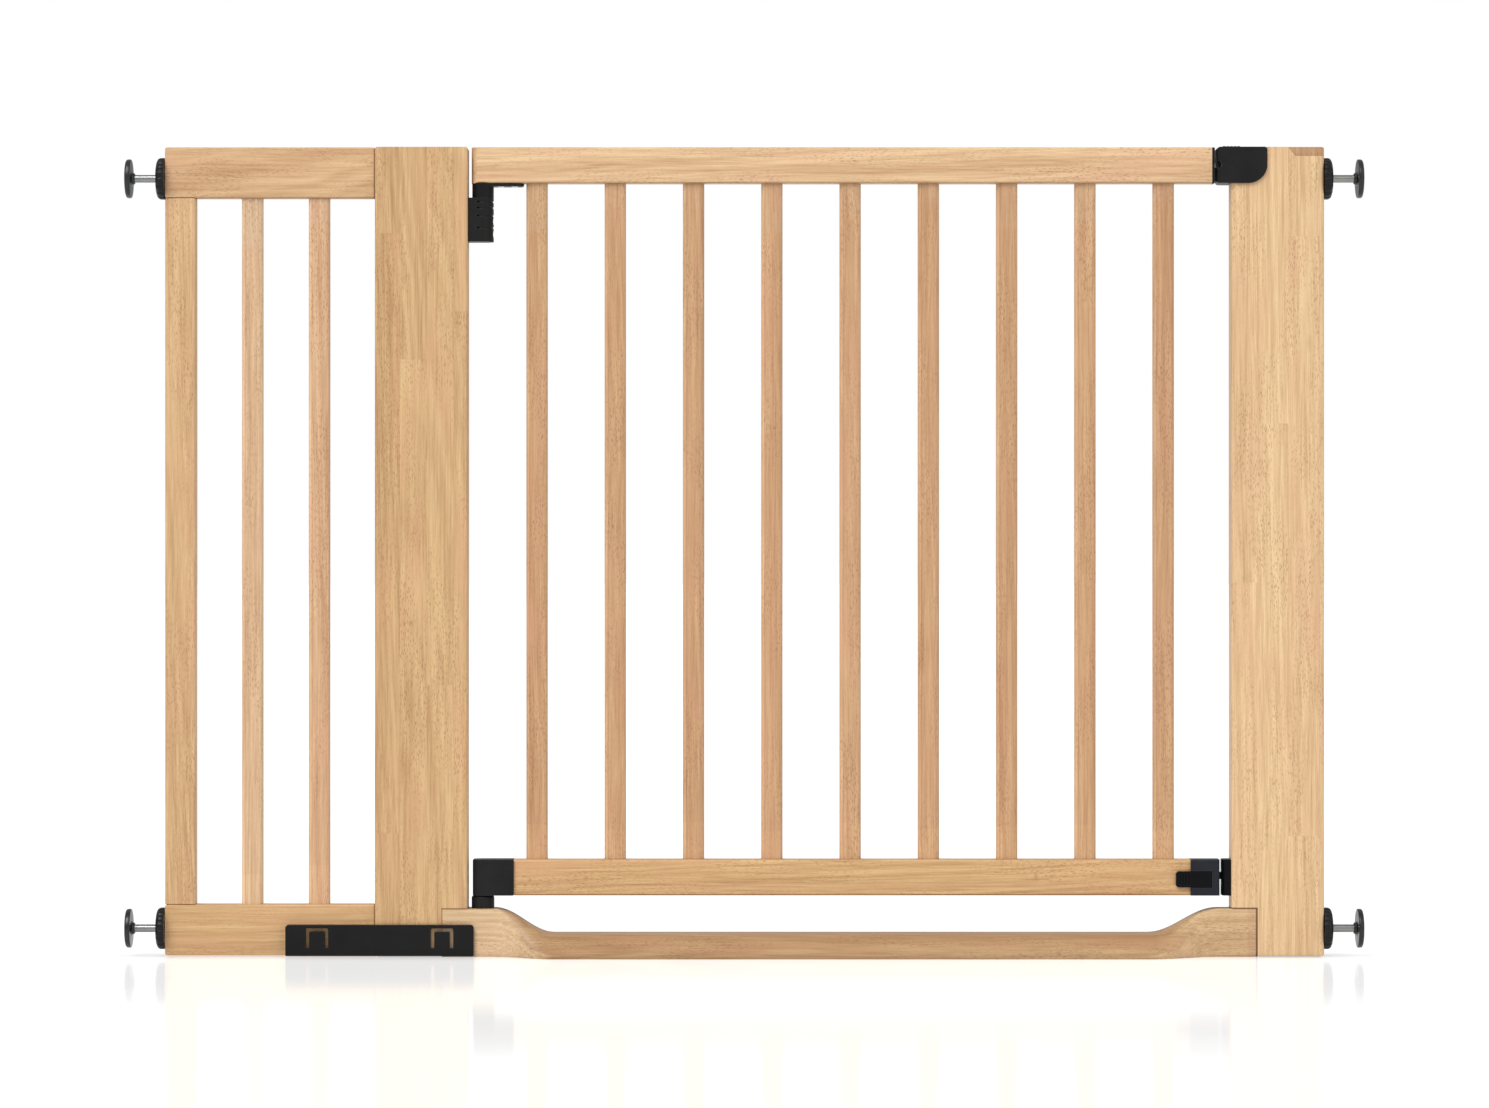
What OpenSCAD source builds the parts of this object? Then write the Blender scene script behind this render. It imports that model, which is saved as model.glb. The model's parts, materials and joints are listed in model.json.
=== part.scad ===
// Wooden pressure-fit safety gate with a swinging leaf, a side extension,
// four screw spindles, a sprung top latch and a sliding lower lock.
// X runs along the gate, Y through it (the front faces -Y), Z is up.
// The origin is on the floor, at the middle of the whole gate.

/* [Frame] */
// Height of the posts and top rails above the floor
frame_height = 810; // [700:5:980]
// Clear width between the two posts
opening_width = 763.6; // [620:0.2:920]
// Width of each post, seen from the front
post_width = 93; // [86:0.5:120]
// Thickness of each post
post_thickness = 28; // [28:0.5:36]
// Air gap between the floor and the posts
floor_gap = 1; // [0.5:0.5:2]
// Rounding of the wooden edges
wood_round = 2.5; // [1:0.5:3.5]

/* [Threshold] */
// Height of the threshold's ends, where the posts stand on it
threshold_end_height = 48; // [46:0.5:58]
// Height of the threshold's lowered middle
threshold_height = 23; // [16:0.5:32]
// Height of the threshold's thin front and back edges
threshold_edge = 5; // [4:0.5:10]
// Depth of the threshold's middle, front to back
threshold_depth = 90; // [70:1:120]
// Width of the flat crown along the middle
threshold_crown = 26; // [16:1:40]
// Length of each end let into its post
notch_depth = 26; // [20:0.5:30]
// Flat length beside the hinge post, before the surface drops
end_flat = 26; // [24:0.5:32]
// Flat length beside the latch post
latch_end_flat = 12; // [10:0.5:32]
// Length over which the surface drops to its lowered middle
ramp_length = 60; // [40:1:90]
// The same length on the latch post's side
latch_ramp_length = 70; // [40:1:90]

/* [Gate leaf] */
// Height of the leaf's top and bottom rails
rail_height = 36; // [34:0.5:42]
// Thickness of the leaf's rails
rail_thickness = 20; // [18:0.5:22]
// Width of the slats
slat_width = 21.4; // [14:0.2:28]
// Thickness of the slats
slat_thickness = 12; // [8:0.5:14]
// Rounding of the slats' long edges
slat_round = 4.5; // [1:0.5:5]
// Length of each slat end inside a rail
slat_tenon = 14; // [8:0.5:20]
// Clear gap between the hinge post and the first slat
hinge_side_gap = 58.1; // [50:0.1:64]
// Clear gap between the last slat and the latch post
latch_side_gap = 56.3; // [50:0.1:64]

/* [Extension] */
// Width of the extension panel
extension_width = 210.4; // [170:0.2:260]
// Height of the extension's rails
extension_rail_height = 51; // [46:0.5:60]
// Thickness of the extension's rails and stile
extension_thickness = 18; // [18:0.5:22]
// Width of the extension's outer stile
stile_width = 30.8; // [24:0.2:40]
// Length of the stile's and slats' ends inside the rails
extension_tenon = 12; // [6:0.5:12]
// Length of each steel joining pin
joining_pin_length = 80; // [60:1:90]

/* [Hinges] */
// Distance from the hinge post to the hinge axis
hinge_offset = 14.6; // [14:0.1:18]
// Diameter of the steel hinge pins
pin_diameter = 8; // [6:0.5:8]
// Radius of the leaf's rounded hinge end
leaf_end_radius = 11.3; // [11:0.1:12]
// Radius of the hinge knuckle and sockets
knuckle_radius = 10.8; // [10:0.1:12]
// Height of the hinge knuckle, its plate included
knuckle_height = 14.2; // [10:0.2:18]
// Thickness of the hinge plate under the top rail
hinge_plate = 3; // [2:0.5:4]
// Length of the hinge plate
hinge_plate_length = 52; // [40:1:53]
// Height of the upper hinge socket
socket_height = 44; // [40:1:52]
// Height of the lower pivot socket above the threshold
pivot_height = 12.7; // [10:0.1:16]
// Length of the shoe on the bottom rail, from the hinge axis
shoe_length = 31.2; // [26:0.2:44]
// Depth of the plastic caps on the bottom rail
cap_depth = 25; // [24:0.5:26]
// Step between a cap's outer face and the wood inside it
cap_wall = 2.6; // [2:0.1:3.5]

/* [Top latch] */
// Travel of the latch bolt
latch_travel = 9; // [7:0.5:10]
// How far the latch housing stands out from its post
latch_reach = 14.2; // [12:0.1:16]
// Gap between the latch housing and the leaf's end plate
latch_gap = 1.8; // [1.2:0.1:3]
// Thickness of the leaf's end plate
end_plate = 2.7; // [2:0.1:4]
// Length of the latch housing
housing_length = 50.2; // [48:0.2:56]
// Wall of the latch housing
housing_wall = 2.5; // [2:0.1:3]
// Large lower corner of the latch housing
housing_corner = 19; // [6:1:22]
// Height of the latch tongue
tongue_height = 14; // [10:0.5:16]
// Width of the latch tongue, front to back
tongue_width = 10; // [6:0.5:10]

/* [Lower lock] */
// Travel of the lock slider
lock_travel = 9; // [7:0.5:10]
// Length of the lock cover on the bottom rail
cover_length = 28.8; // [26:0.2:34]
// Gap between the lock cover and the strike block
lock_gap = 2.6; // [1.6:0.1:4]
// How far the strike block stands out from its post
strike_reach = 8.8; // [8:0.1:11]
// Height of the lock bolt
bolt_height = 7; // [5:0.5:8]
// Width of the lock bolt, front to back
bolt_width = 8; // [6:0.5:8]
// Height of the thumb slider
slider_height = 16; // [12:0.5:20]
// Length of the thumb slider left of the lock cover
slider_tab = 15; // [12:0.5:18]

/* [Spindles] */
// Outer diameter of the spindle thread
spindle_diameter = 7.8; // [6:0.1:8]
// Length of spindle that shows between wheel and pad
spindle_show = 21.2; // [18:0.2:30]
// Length of spindle inside the frame
spindle_inside = 38; // [30:0.5:38]
// How far a spindle can be screwed in
spindle_in = 14; // [8:0.5:14]
// Diameter of the hand wheels
wheel_diameter = 41.8; // [32:0.2:46]
// Thickness of the hand wheels
wheel_thickness = 9.4; // [8.5:0.1:14]
// Number of grip grooves round a hand wheel
wheel_grooves = 16; // [8:1:24]
// Diameter of the wall pads
pad_diameter = 39; // [30:0.5:46]
// Thickness of the wall pads
pad_thickness = 8.8; // [7.5:0.1:14]
// Height of the lower spindles above the floor
low_spindle = 27.5; // [25:0.5:30]
// Distance of the upper spindles below the top
high_spindle = 31; // [28:0.5:34]

/* [Bracket] */
// Length of the joining bracket on the extension
bracket_left = 89.1; // [70:0.1:110]
// Length of the joining bracket past the hinge post
bracket_right = 6; // [2:0.1:10]
// Height of the joining bracket
bracket_height = 31; // [26:0.5:36]
// Thickness of the joining bracket over the post
bracket_plate = 4; // [3:0.5:6]
// Outer width of the slot round each spring tab
tab_slot_width = 22.6; // [18:0.2:26]
// Outer height of the slot round each spring tab
tab_slot_height = 20; // [14:0.5:22]
// Width of the cut round each spring tab
tab_cut = 3.6; // [2:0.2:4]

/* [Hidden] */
SLATS = 9;
EXT_SLATS = 2;
SLAT_NAMES = [for (i = [1 : SLATS]) str("gate_slat_", i)];
EXT_SLAT_NAMES = [for (i = [1 : EXT_SLATS]) str("extension_slat_", i)];
CORNERS = ["top_left", "bottom_left", "top_right", "bottom_right"];

$fn = 64;
ROUND_STEPS = 5;
FINE_STEPS = 9;

// How far a cut runs past a face, then the clearances of glued joints,
// loose neighbours, turning pins and running threads
CUT = 1;
GLUE = 0.05;
LOOSE = 0.3;
RUN = 0.08;
THREAD_RUN = 0.1;

BEECH = "#d8ab78";
BEECH_DARK = "#c9976b";
BLACK = "#262626";
STEEL = "#c3c6c9";

// Places along the gate
wheel_gap = 0.4;
spindle_reach = wheel_gap + wheel_thickness + spindle_show + pad_thickness;
frame_width = extension_width + 2 * post_width + opening_width;
x_frame_left = -frame_width / 2;
x_frame_right = frame_width / 2;
x_post_left = x_frame_left + extension_width;
x_open_left = x_post_left + post_width;
x_open_right = x_open_left + opening_width;
x_hinge = x_open_left + hinge_offset;
x_leaf_left = x_hinge - leaf_end_radius;
x_housing = x_open_right - latch_reach;
x_leaf_right = x_housing - latch_gap - end_plate;
x_strike = x_open_right - strike_reach;
x_cover_right = x_strike - lock_gap;
x_cover_left = x_cover_right - cover_length;
x_shoe_right = x_hinge + shoe_length;

// Heights
tongue_rise = 1.8;
bolt_rise = 16;
slider_drop = 3.2;
spring_rise = 12;
z_top_rail = frame_height - rail_height;
z_bottom_rail = threshold_end_height + pivot_height + LOOSE;
z_bottom_rail_top = z_bottom_rail + rail_height;
z_knuckle = frame_height - rail_height - knuckle_height;
z_socket_top = z_knuckle - LOOSE;
z_socket = z_socket_top - socket_height;
z_spindles = [frame_height - high_spindle, low_spindle];
z_extension_top = frame_height - extension_rail_height;
z_extension_low = floor_gap + extension_rail_height;
z_tongue = z_top_rail + tongue_rise;
z_spring = z_tongue + spring_rise;
z_bolt = z_bottom_rail + bolt_rise;
z_slider = z_bolt + bolt_height / 2 - slider_height / 2 - slider_drop;

half_post = post_thickness / 2;
half_rail = rail_thickness / 2;
half_extension = extension_thickness / 2;
half_cap = cap_depth / 2;

// Slats stand at one pitch between the two side gaps
slat_pitch = (opening_width - hinge_side_gap - latch_side_gap - slat_width) / (SLATS - 1);
x_first_slat = x_open_left + hinge_side_gap + slat_width / 2;
ext_gap = (extension_width - stile_width - EXT_SLATS * slat_width) / (EXT_SLATS + 1);

// Fasteners
screw_radius = 2;
screw_length = 16;
screw_tip_radius = 0.4;
screw_tip_length = 2;
screw_head_radius = 3.8;
screw_head_height = 2.4;
screw_head_bevel = 0.8;
screw_head_top = 2.6;
screw_head_room = 0.4;
frame_bolt_radius = 3;
frame_bolt_head = 5.5;
frame_bolt_head_height = 4;
frame_bolt_head_room = 0.5;
frame_bolt_hex_radius = 2.9;
frame_bolt_hex_depth = 2.5;
frame_bolt_sink = 8;
frame_bolt_grip = 21;
frame_bolt_length = post_width - notch_depth - frame_bolt_sink + frame_bolt_grip;
frame_bolt_heights = [low_spindle - 17.5, low_spindle + 14.5];
bush_radius = 7;
bush_length = 20;
nut_across_flats = 13;
nut_radius = nut_across_flats / 2 / cos(30);
nut_height = 6.5;
joining_pin_radius = spindle_diameter / 2;
spindle_end_room = 2;
bore_radius = spindle_diameter / 2 + THREAD_RUN;
spindle_hole_depth = spindle_inside + spindle_in + spindle_end_room;

// Latch and lock inner sizes
carriage_half_width = 6;
carriage_length = 24;
button_length = 17;
button_half_width = 5.5;
button_rise = 1.4;
latch_inset = 3.3;
tongue_reach = 8.5;
tongue_room_gap = 0.5;
spring_radius = 3.4;
spring_wire = 0.4;
spring_seat_depth = 2;
spring_closed_room = 8.8;
mortise_depth = latch_inset + carriage_length + latch_travel + spring_closed_room - latch_reach;
mortise_room = 0.5;
carriage_floor_room = 0.6;
mortise_half_width = carriage_half_width + mortise_room;
bolt_engagement = 6.4;
bolt_behind = 2;
bolt_end_room = 1;
strike_pocket_room = 0.6;
cover_bulge = 1.5;
cover_edge = 1.2;
cover_round = 3;
cover_long_round = 2;
channel_room = 0.4;
channel_end_room = 1;
slider_plate = 3.2;
slider_reach_in = 20;
neck_length = 8;
neck_offset = 6;
lock_tenon_inset = 7;

// Points of a quarter circle
function corner(centre, r, start, steps) = r <= 0 ? [centre]
    : [for (i = [0 : steps]) centre + r * [cos(start + 90 * i / steps), sin(start + 90 * i / steps)]];

// Rectangle with its own radius at each corner, from lower left round to upper left
function outline(x0, y0, x1, y1, r, steps = ROUND_STEPS) = concat(
    corner([x0 + r[0], y0 + r[0]], r[0], 180, steps),
    corner([x1 - r[1], y0 + r[1]], r[1], 270, steps),
    corner([x1 - r[2], y1 - r[2]], r[2], 0, steps),
    corner([x0 + r[3], y1 - r[3]], r[3], 90, steps)
);
function same(r) = [r, r, r, r];

// Box from one corner to the opposite one
module block(low, high) {
    translate(low)
        cube(high - low);
}

// Front outline (X, Z) given a depth about the middle plane
module front_shape(depth) {
    translate([0, depth / 2, 0])
        rotate([90, 0, 0])
            linear_extrude(depth)
                children();
}

// Side outline (Y, Z) drawn along X
module side_shape(x, length) {
    translate([x, 0, 0])
        rotate([90, 0, 90])
            linear_extrude(length)
                children();
}

// Board with rounded upright edges and rounded front corners
module board(x0, x1, z0, z1, thickness, r = wood_round) {
    half = thickness / 2;
    intersection() {
        translate([0, 0, z0])
            linear_extrude(z1 - z0)
                polygon(outline(x0, -half, x1, half, same(r)));
        front_shape(thickness + 2 * CUT)
            polygon(outline(x0, z0, x1, z1, same(r)));
    }
}

// Rail with rounded long edges
module rail(x0, x1, z0, z1, thickness, r = wood_round) {
    side_shape(x0, x1 - x0)
        polygon(outline(-thickness / 2, z0, thickness / 2, z1, same(r)));
}

// Flat slat with rounded long edges
module slat(x, z0, z1, gap = 0) {
    half_width = slat_width / 2 + gap;
    half_depth = slat_thickness / 2 + gap;
    translate([0, 0, z0])
        linear_extrude(z1 - z0)
            polygon(outline(x - half_width, -half_depth, x + half_width, half_depth, same(slat_round)));
}

// Round bar along +X from a point
module bar_x(x, z, r, length, y = 0) {
    translate([x, y, z])
        rotate([0, 90, 0])
            cylinder(r = r, h = length);
}

// Six-sided prism along +Z, sized by the radius to its corners
module hexagon(r, height) {
    cylinder(r = r, h = height, $fn = 6);
}

// Places a child at a spindle: its own +Z points out of the frame
module at_spindle(side, z) {
    translate([side < 0 ? x_frame_left : x_frame_right, 0, z])
        rotate([0, side * 90, 0])
            children();
}

// Hole for a spindle and its bush, opening at the child's own +Z
module spindle_hole() {
    translate([0, 0, -spindle_hole_depth])
        cylinder(r = bore_radius + LOOSE, h = spindle_hole_depth + CUT);
    translate([0, 0, -bush_length])
        cylinder(r = bush_radius + GLUE, h = bush_length + CUT);
}

module bush() {
    translate([0, 0, -bush_length])
        difference() {
            cylinder(r = bush_radius, h = bush_length);
            translate([0, 0, -CUT])
                cylinder(r = bore_radius, h = bush_length + 2 * CUT);
        }
}

// Pan-head wood screw: the head's seat is at z = 0 and the shank runs to -Z
module screw() {
    recess_depth = 1.4;
    recess_width = 0.9;
    recess_length = 4.2;
    difference() {
        union() {
            cylinder(r = screw_head_radius, h = screw_head_height - screw_head_bevel);
            translate([0, 0, screw_head_height - screw_head_bevel])
                cylinder(r1 = screw_head_radius, r2 = screw_head_top, h = screw_head_bevel);
            translate([0, 0, screw_tip_length - screw_length])
                cylinder(r = screw_radius, h = screw_length - screw_tip_length);
            translate([0, 0, -screw_length])
                cylinder(r1 = screw_tip_radius, r2 = screw_radius, h = screw_tip_length);
        }
        for (turn = [0, 90])
            rotate([0, 0, turn])
                translate([-recess_length / 2, -recess_width / 2, screw_head_height - recess_depth])
                    cube([recess_length, recess_width, recess_depth + CUT]);
    }
}

// Room for a screw: shank hole, and a head pocket of a given depth above the seat
module screw_room(pocket = screw_head_height + CUT) {
    translate([0, 0, -screw_length - LOOSE])
        cylinder(r = screw_radius + GLUE, h = screw_length + 2 * LOOSE);
    cylinder(r = screw_head_radius + screw_head_room, h = pocket);
}

// ---- places of the screws: each runs its children once for every screw ----
socket_screw_rises = [8, 21];
socket_screw_seat = 6;
module at_socket_screws() {
    for (rise = socket_screw_rises)
        translate([x_open_left + socket_screw_seat, 0, z_socket + rise])
            rotate([0, 90, 0])
                children();
}

strike_screw_edge = 5.6;
strike_screw_seat = 5.6;
module at_strike_screws() {
    for (rise = [strike_screw_edge, rail_height - strike_screw_edge])
        translate([x_open_right - strike_screw_seat, 0, z_bottom_rail + rise])
            rotate([0, -90, 0])
                children();
}

housing_screw_side = 11.4;
housing_screw_inset = 7;
module at_housing_screws() {
    for (y = [-housing_screw_side, housing_screw_side])
        translate([x_housing + housing_screw_inset, y, z_top_rail + rail_height / 2])
            rotate([0, -90, 0])
                children();
}

leaf_screw_offsets = [18, 32];
leaf_screw_seat = 1;
module at_leaf_screws() {
    for (offset = leaf_screw_offsets)
        translate([x_hinge + offset, 0, z_top_rail - leaf_screw_seat])
            rotate([180, 0, 0])
                children();
}

shoe_screw_offset = 22;
cap_screw_edge = 8;
cap_screw_seat = 1.2;
module at_cap_screws() {
    for (x = [x_hinge + shoe_screw_offset, x_cover_left + cap_screw_edge])
        for (z = [z_bottom_rail + cap_screw_edge, z_bottom_rail_top - cap_screw_edge])
            translate([x, half_rail - cap_wall / 2 + cap_screw_seat, z])
                rotate([-90, 0, 0])
                    children();
}

end_screw_drop = 10;
end_screw_side = 5;
end_screw_sink = 0.2;
module at_end_plate_screws() {
    for (y = [-end_screw_side, end_screw_side])
        translate([x_leaf_right - end_screw_sink, y, frame_height - end_screw_drop])
            rotate([0, 90, 0])
                children();
}

// ---- posts ----
module bolt_hole(side) {
    for (z = frame_bolt_heights)
        translate([side < 0 ? x_post_left : x_frame_right, 0, z])
            rotate([0, side * 90, 0]) {
                translate([0, 0, -frame_bolt_sink])
                    cylinder(r = frame_bolt_head + frame_bolt_head_room, h = frame_bolt_sink + CUT);
                translate([0, 0, -frame_bolt_sink - frame_bolt_length - LOOSE])
                    cylinder(r = frame_bolt_radius + GLUE, h = frame_bolt_length + CUT);
            }
}

module left_post() {
    color(BEECH)
        difference() {
            board(x_post_left, x_open_left, floor_gap, frame_height, post_thickness);
            block([x_open_left - notch_depth, -half_post - CUT, 0],
                [x_open_left + CUT, half_post + CUT, threshold_end_height]);
            for (z = z_spindles)
                translate([x_post_left, 0, z])
                    rotate([0, -90, 0])
                        spindle_hole();
            bolt_hole(-1);
            at_socket_screws()
                screw_room();
            tab_peg(tab_x(1), GLUE);
        }
}

module right_post() {
    z_mortise = z_tongue - carriage_floor_room;
    color(BEECH)
        difference() {
            board(x_open_right, x_frame_right, floor_gap, frame_height, post_thickness);
            block([x_open_right - CUT, -half_post - CUT, 0],
                [x_open_right + notch_depth, half_post + CUT, threshold_end_height]);
            block([x_open_right - CUT, -half_post - CUT, frame_height - housing_wall],
                [x_housing + housing_length, half_post + CUT, frame_height + CUT]);
            block([x_open_right - CUT, -mortise_half_width, z_mortise],
                [x_open_right + mortise_depth, mortise_half_width, frame_height + CUT]);
            for (z = z_spindles)
                at_spindle(1, z)
                    spindle_hole();
            bolt_hole(1);
            at_strike_screws()
                screw_room();
            at_housing_screws()
                screw_room();
            top_scoop();
        }
}

// Shallow finger scoop worked into the front of the post's top edge
module top_scoop() {
    scoop_length = 36;
    scoop_height = 9;
    scoop_depth = 1.6;
    scoop_slant = 7;
    front = -half_post;
    translate([0, front + scoop_depth, 0])
        rotate([90, 0, 0])
            linear_extrude(scoop_depth + CUT)
                polygon([
                    [x_frame_right - scoop_length, frame_height + CUT],
                    [x_frame_right - scoop_length, frame_height],
                    [x_frame_right - scoop_length + scoop_slant, frame_height - scoop_height],
                    [x_frame_right + CUT, frame_height - scoop_height],
                    [x_frame_right + CUT, frame_height + CUT]
                ]);
}

// ---- threshold ----
SECTION_STEPS = 6;
RAMP_STEPS = 16;
edge_chamfer = 1;

// 0 beside a post, 1 where the surface has dropped, for a place along the threshold
function drop(x) = min(1, max(0, min(
    (x - x_open_left - end_flat) / ramp_length,
    (x_open_right - x - latch_end_flat) / latch_ramp_length)));
function ease(t) = (1 - cos(180 * t)) / 2;

// Half outline of the threshold across its length: edge, slope, crown
function half_section(x, steps = SECTION_STEPS) =
    let (t = drop(x))
    let (crown = threshold_end_height - (threshold_end_height - threshold_height) * ease(t))
    let (edge_top = threshold_end_height - edge_chamfer)
    let (edge = edge_top - (edge_top - threshold_edge) * ease(sqrt(t)))
    let (half = half_post + (threshold_depth / 2 - half_post) * ease(t))
    let (flat_end = half_post - edge_chamfer)
    let (flat = flat_end + (threshold_crown / 2 - flat_end) * t)
    [for (i = [0 : steps]) [half - (half - flat) * i / steps, edge + (crown - edge) * sin(90 * i / steps)]];

function full_section(x) =
    let (right = half_section(x))
    let (n = len(right) - 1)
    concat(
        [[-right[0][0], 0], [right[0][0], 0]],
        right,
        [for (i = [0 : n]) [-right[n - i][0], right[n - i][1]]]
    );

module threshold_body() {
    x_end_left = x_open_left - notch_depth + GLUE;
    x_end_right = x_open_right + notch_depth - GLUE;
    ramp_left = [for (i = [0 : RAMP_STEPS]) x_open_left + end_flat + ramp_length * i / RAMP_STEPS];
    ramp_right = [for (i = [0 : RAMP_STEPS])
        x_open_right - latch_end_flat - latch_ramp_length * (1 - i / RAMP_STEPS)];
    stations = concat([x_end_left], ramp_left, ramp_right, [x_end_right]);
    rings = [for (x = stations) [for (p = full_section(x)) [x, p[0], p[1]]]];
    n = len(rings[0]);
    m = len(rings);
    points = [for (ring = rings) each ring];
    sides = [
        for (j = [0 : m - 2])
            for (i = [0 : n - 1])
                [j * n + i, j * n + (i + 1) % n, (j + 1) * n + (i + 1) % n, (j + 1) * n + i]
    ];
    first = [for (i = [n - 1 : -1 : 0]) i];
    last = [for (i = [0 : n - 1]) (m - 1) * n + i];
    polyhedron(points, concat([first], sides, [last]), convexity = 6);
}

module threshold() {
    color(BEECH)
        difference() {
            threshold_body();
            bolt_hole(-1);
            bolt_hole(1);
            translate([x_hinge, 0, threshold_end_height - spigot_length - LOOSE])
                cylinder(r = spigot_radius + GLUE, h = spigot_length + CUT + LOOSE);
        }
}

module frame_bolts() {
    color(STEEL)
        for (side = [-1, 1])
            for (z = frame_bolt_heights)
                translate([side < 0 ? x_post_left : x_frame_right, 0, z])
                    rotate([0, side * 90, 0])
                        translate([0, 0, -frame_bolt_sink])
                            difference() {
                                union() {
                                    cylinder(r = frame_bolt_head, h = frame_bolt_head_height);
                                    translate([0, 0, -frame_bolt_length + CUT])
                                        cylinder(r = frame_bolt_radius, h = frame_bolt_length - CUT);
                                }
                                translate([0, 0, frame_bolt_head_height - frame_bolt_hex_depth])
                                    hexagon(frame_bolt_hex_radius, frame_bolt_hex_depth + CUT);
                            }
}

module spindle_bushes() {
    color(BLACK)
        for (z = z_spindles) {
            for (side = [-1, 1])
                at_spindle(side, z)
                    bush();
            translate([x_post_left, 0, z])
                rotate([0, -90, 0])
                    bush();
        }
}

module frame_screws() {
    color(STEEL) {
        at_socket_screws()
            screw();
        at_strike_screws()
            screw();
        at_housing_screws()
            screw();
    }
}

// ---- extension panel ----
function ext_slat_x(i) = x_frame_left + stile_width + ext_gap * i + slat_width * (i - 0.5);

module extension_rail(z0, z1, z_spindle, tenon_z0, tenon_z1) {
    pin_inside = joining_pin_length / 2;
    color(BEECH)
        difference() {
            intersection() {
                rail(x_frame_left, x_post_left, z0, z1, extension_thickness);
                front_shape(post_thickness)
                    polygon(outline(x_frame_left, z0, x_post_left, z1, same(wood_round)));
            }
            at_spindle(-1, z_spindle)
                spindle_hole();
            bar_x(x_post_left - pin_inside - LOOSE, z_spindle, joining_pin_radius + GLUE, pin_inside + CUT);
            for (i = [1 : EXT_SLATS])
                slat(ext_slat_x(i), tenon_z0, tenon_z1, GLUE);
            stile_tenon(tenon_z0, tenon_z1, GLUE);
            if (z0 < z_extension_low)
                tab_peg(tab_x(0), GLUE);
        }
}

module stile_tenon(z0, z1, gap = 0) {
    shoulder = 5;
    half = 4;
    block([x_frame_left + shoulder - gap, -half - gap, z0],
        [x_frame_left + stile_width - shoulder + gap, half + gap, z1]);
}

module extension_top_rail() {
    extension_rail(z_extension_top, frame_height, z_spindles[0],
        z_extension_top - CUT, z_extension_top + extension_tenon);
}

module extension_bottom_rail() {
    extension_rail(floor_gap, z_extension_low, z_spindles[1],
        z_extension_low - extension_tenon, z_extension_low + CUT);
}

module extension_stile() {
    color(BEECH) {
        translate([0, 0, z_extension_low])
            linear_extrude(z_extension_top - z_extension_low)
                polygon(outline(x_frame_left, -half_extension, x_frame_left + stile_width, half_extension,
                    same(wood_round)));
        stile_tenon(z_extension_low - extension_tenon, z_extension_top + extension_tenon);
    }
}

module extension_slat(i) {
    color(BEECH_DARK)
        slat(ext_slat_x(i), z_extension_low - extension_tenon, z_extension_top + extension_tenon);
}

module extension_pins() {
    color(STEEL)
        for (z = z_spindles)
            bar_x(x_post_left - joining_pin_length / 2, z, joining_pin_radius, joining_pin_length);
}

// ---- joining bracket with two spring tabs ----
tab_offsets = [-57.6, 67.4];
tab_foot = 7.6;
tab_outer_round = 1.5;
tab_inner_round = 1;
tab_peg_radius = 3;
tab_peg_depth = 5;
tab_peg_shift = -4.4;
tab_peg_rise = 16;
bracket_round = 3;
bracket_foot_round = 1;
function tab_x(i) = x_post_left + tab_offsets[i];

module tab_peg(x, gap = 0) {
    y_seat = x < x_post_left ? -half_extension : -half_post;
    translate([x + tab_peg_shift, y_seat + tab_peg_depth + gap, floor_gap + tab_peg_rise])
        rotate([90, 0, 0])
            cylinder(r = tab_peg_radius + gap, h = tab_peg_depth + gap + CUT);
}

module tab_cut_shape(x) {
    z_foot = floor_gap + tab_foot;
    half = tab_slot_width / 2;
    outer = [0, 0, tab_outer_round, tab_outer_round];
    inner = [0, 0, tab_inner_round, tab_inner_round];
    front_shape(2 * post_thickness)
        difference() {
            polygon(outline(x - half, z_foot, x + half, z_foot + tab_slot_height, outer));
            polygon(outline(x - half + tab_cut, z_foot - CUT, x + half - tab_cut,
                z_foot + tab_slot_height - tab_cut, inner));
        }
}

module joining_bracket() {
    x0 = x_post_left - bracket_left;
    x1 = x_open_left + bracket_right;
    y_face = -half_post - bracket_plate;
    z_over = 2 * bracket_height;
    corners = [bracket_foot_round, bracket_foot_round, bracket_round, bracket_round];
    color(BLACK)
        difference() {
            union() {
                intersection() {
                    front_shape(2 * post_thickness)
                        polygon(outline(x0, floor_gap, x1, floor_gap + bracket_height, corners));
                    union() {
                        block([x0, y_face, 0], [x1, -half_post, z_over]);
                        block([x0, y_face, 0], [x_post_left - GLUE, -half_extension, z_over]);
                    }
                }
                for (i = [0, 1])
                    tab_peg(tab_x(i));
            }
            for (i = [0, 1])
                difference() {
                    tab_cut_shape(tab_x(i));
                    block([x0, -half_extension + GLUE, 0], [x1, 2 * post_thickness, z_over]);
                }
        }
}

// ---- hinges, frame side ----
spigot_radius = 7;
spigot_length = 18;
pin_socket_depth = 14;
pivot_socket_depth = 20;
pin_end_room = 1;
pivot_flare = 0.6;
rib_heights = [14, 26, 34, 40];
rib_circle_radius = 1.2;
rib_cut = 0.7;

module upper_hinge_socket() {
    color(BLACK)
        difference() {
            union() {
                translate([x_hinge, 0, z_socket])
                    cylinder(r = knuckle_radius, h = socket_height);
                block([x_open_left, -knuckle_radius, z_socket], [x_hinge, knuckle_radius, z_socket_top]);
            }
            translate([x_hinge, 0, z_socket_top - pin_socket_depth])
                cylinder(r = pin_diameter / 2 + RUN, h = pin_socket_depth + CUT);
            at_socket_screws()
                screw_room(hinge_offset + knuckle_radius);
            for (z = rib_heights)
                translate([x_hinge, 0, z_socket + z])
                    rotate_extrude()
                        translate([knuckle_radius + rib_circle_radius - rib_cut, 0])
                            circle(r = rib_circle_radius, $fn = 24);
        }
}

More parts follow.
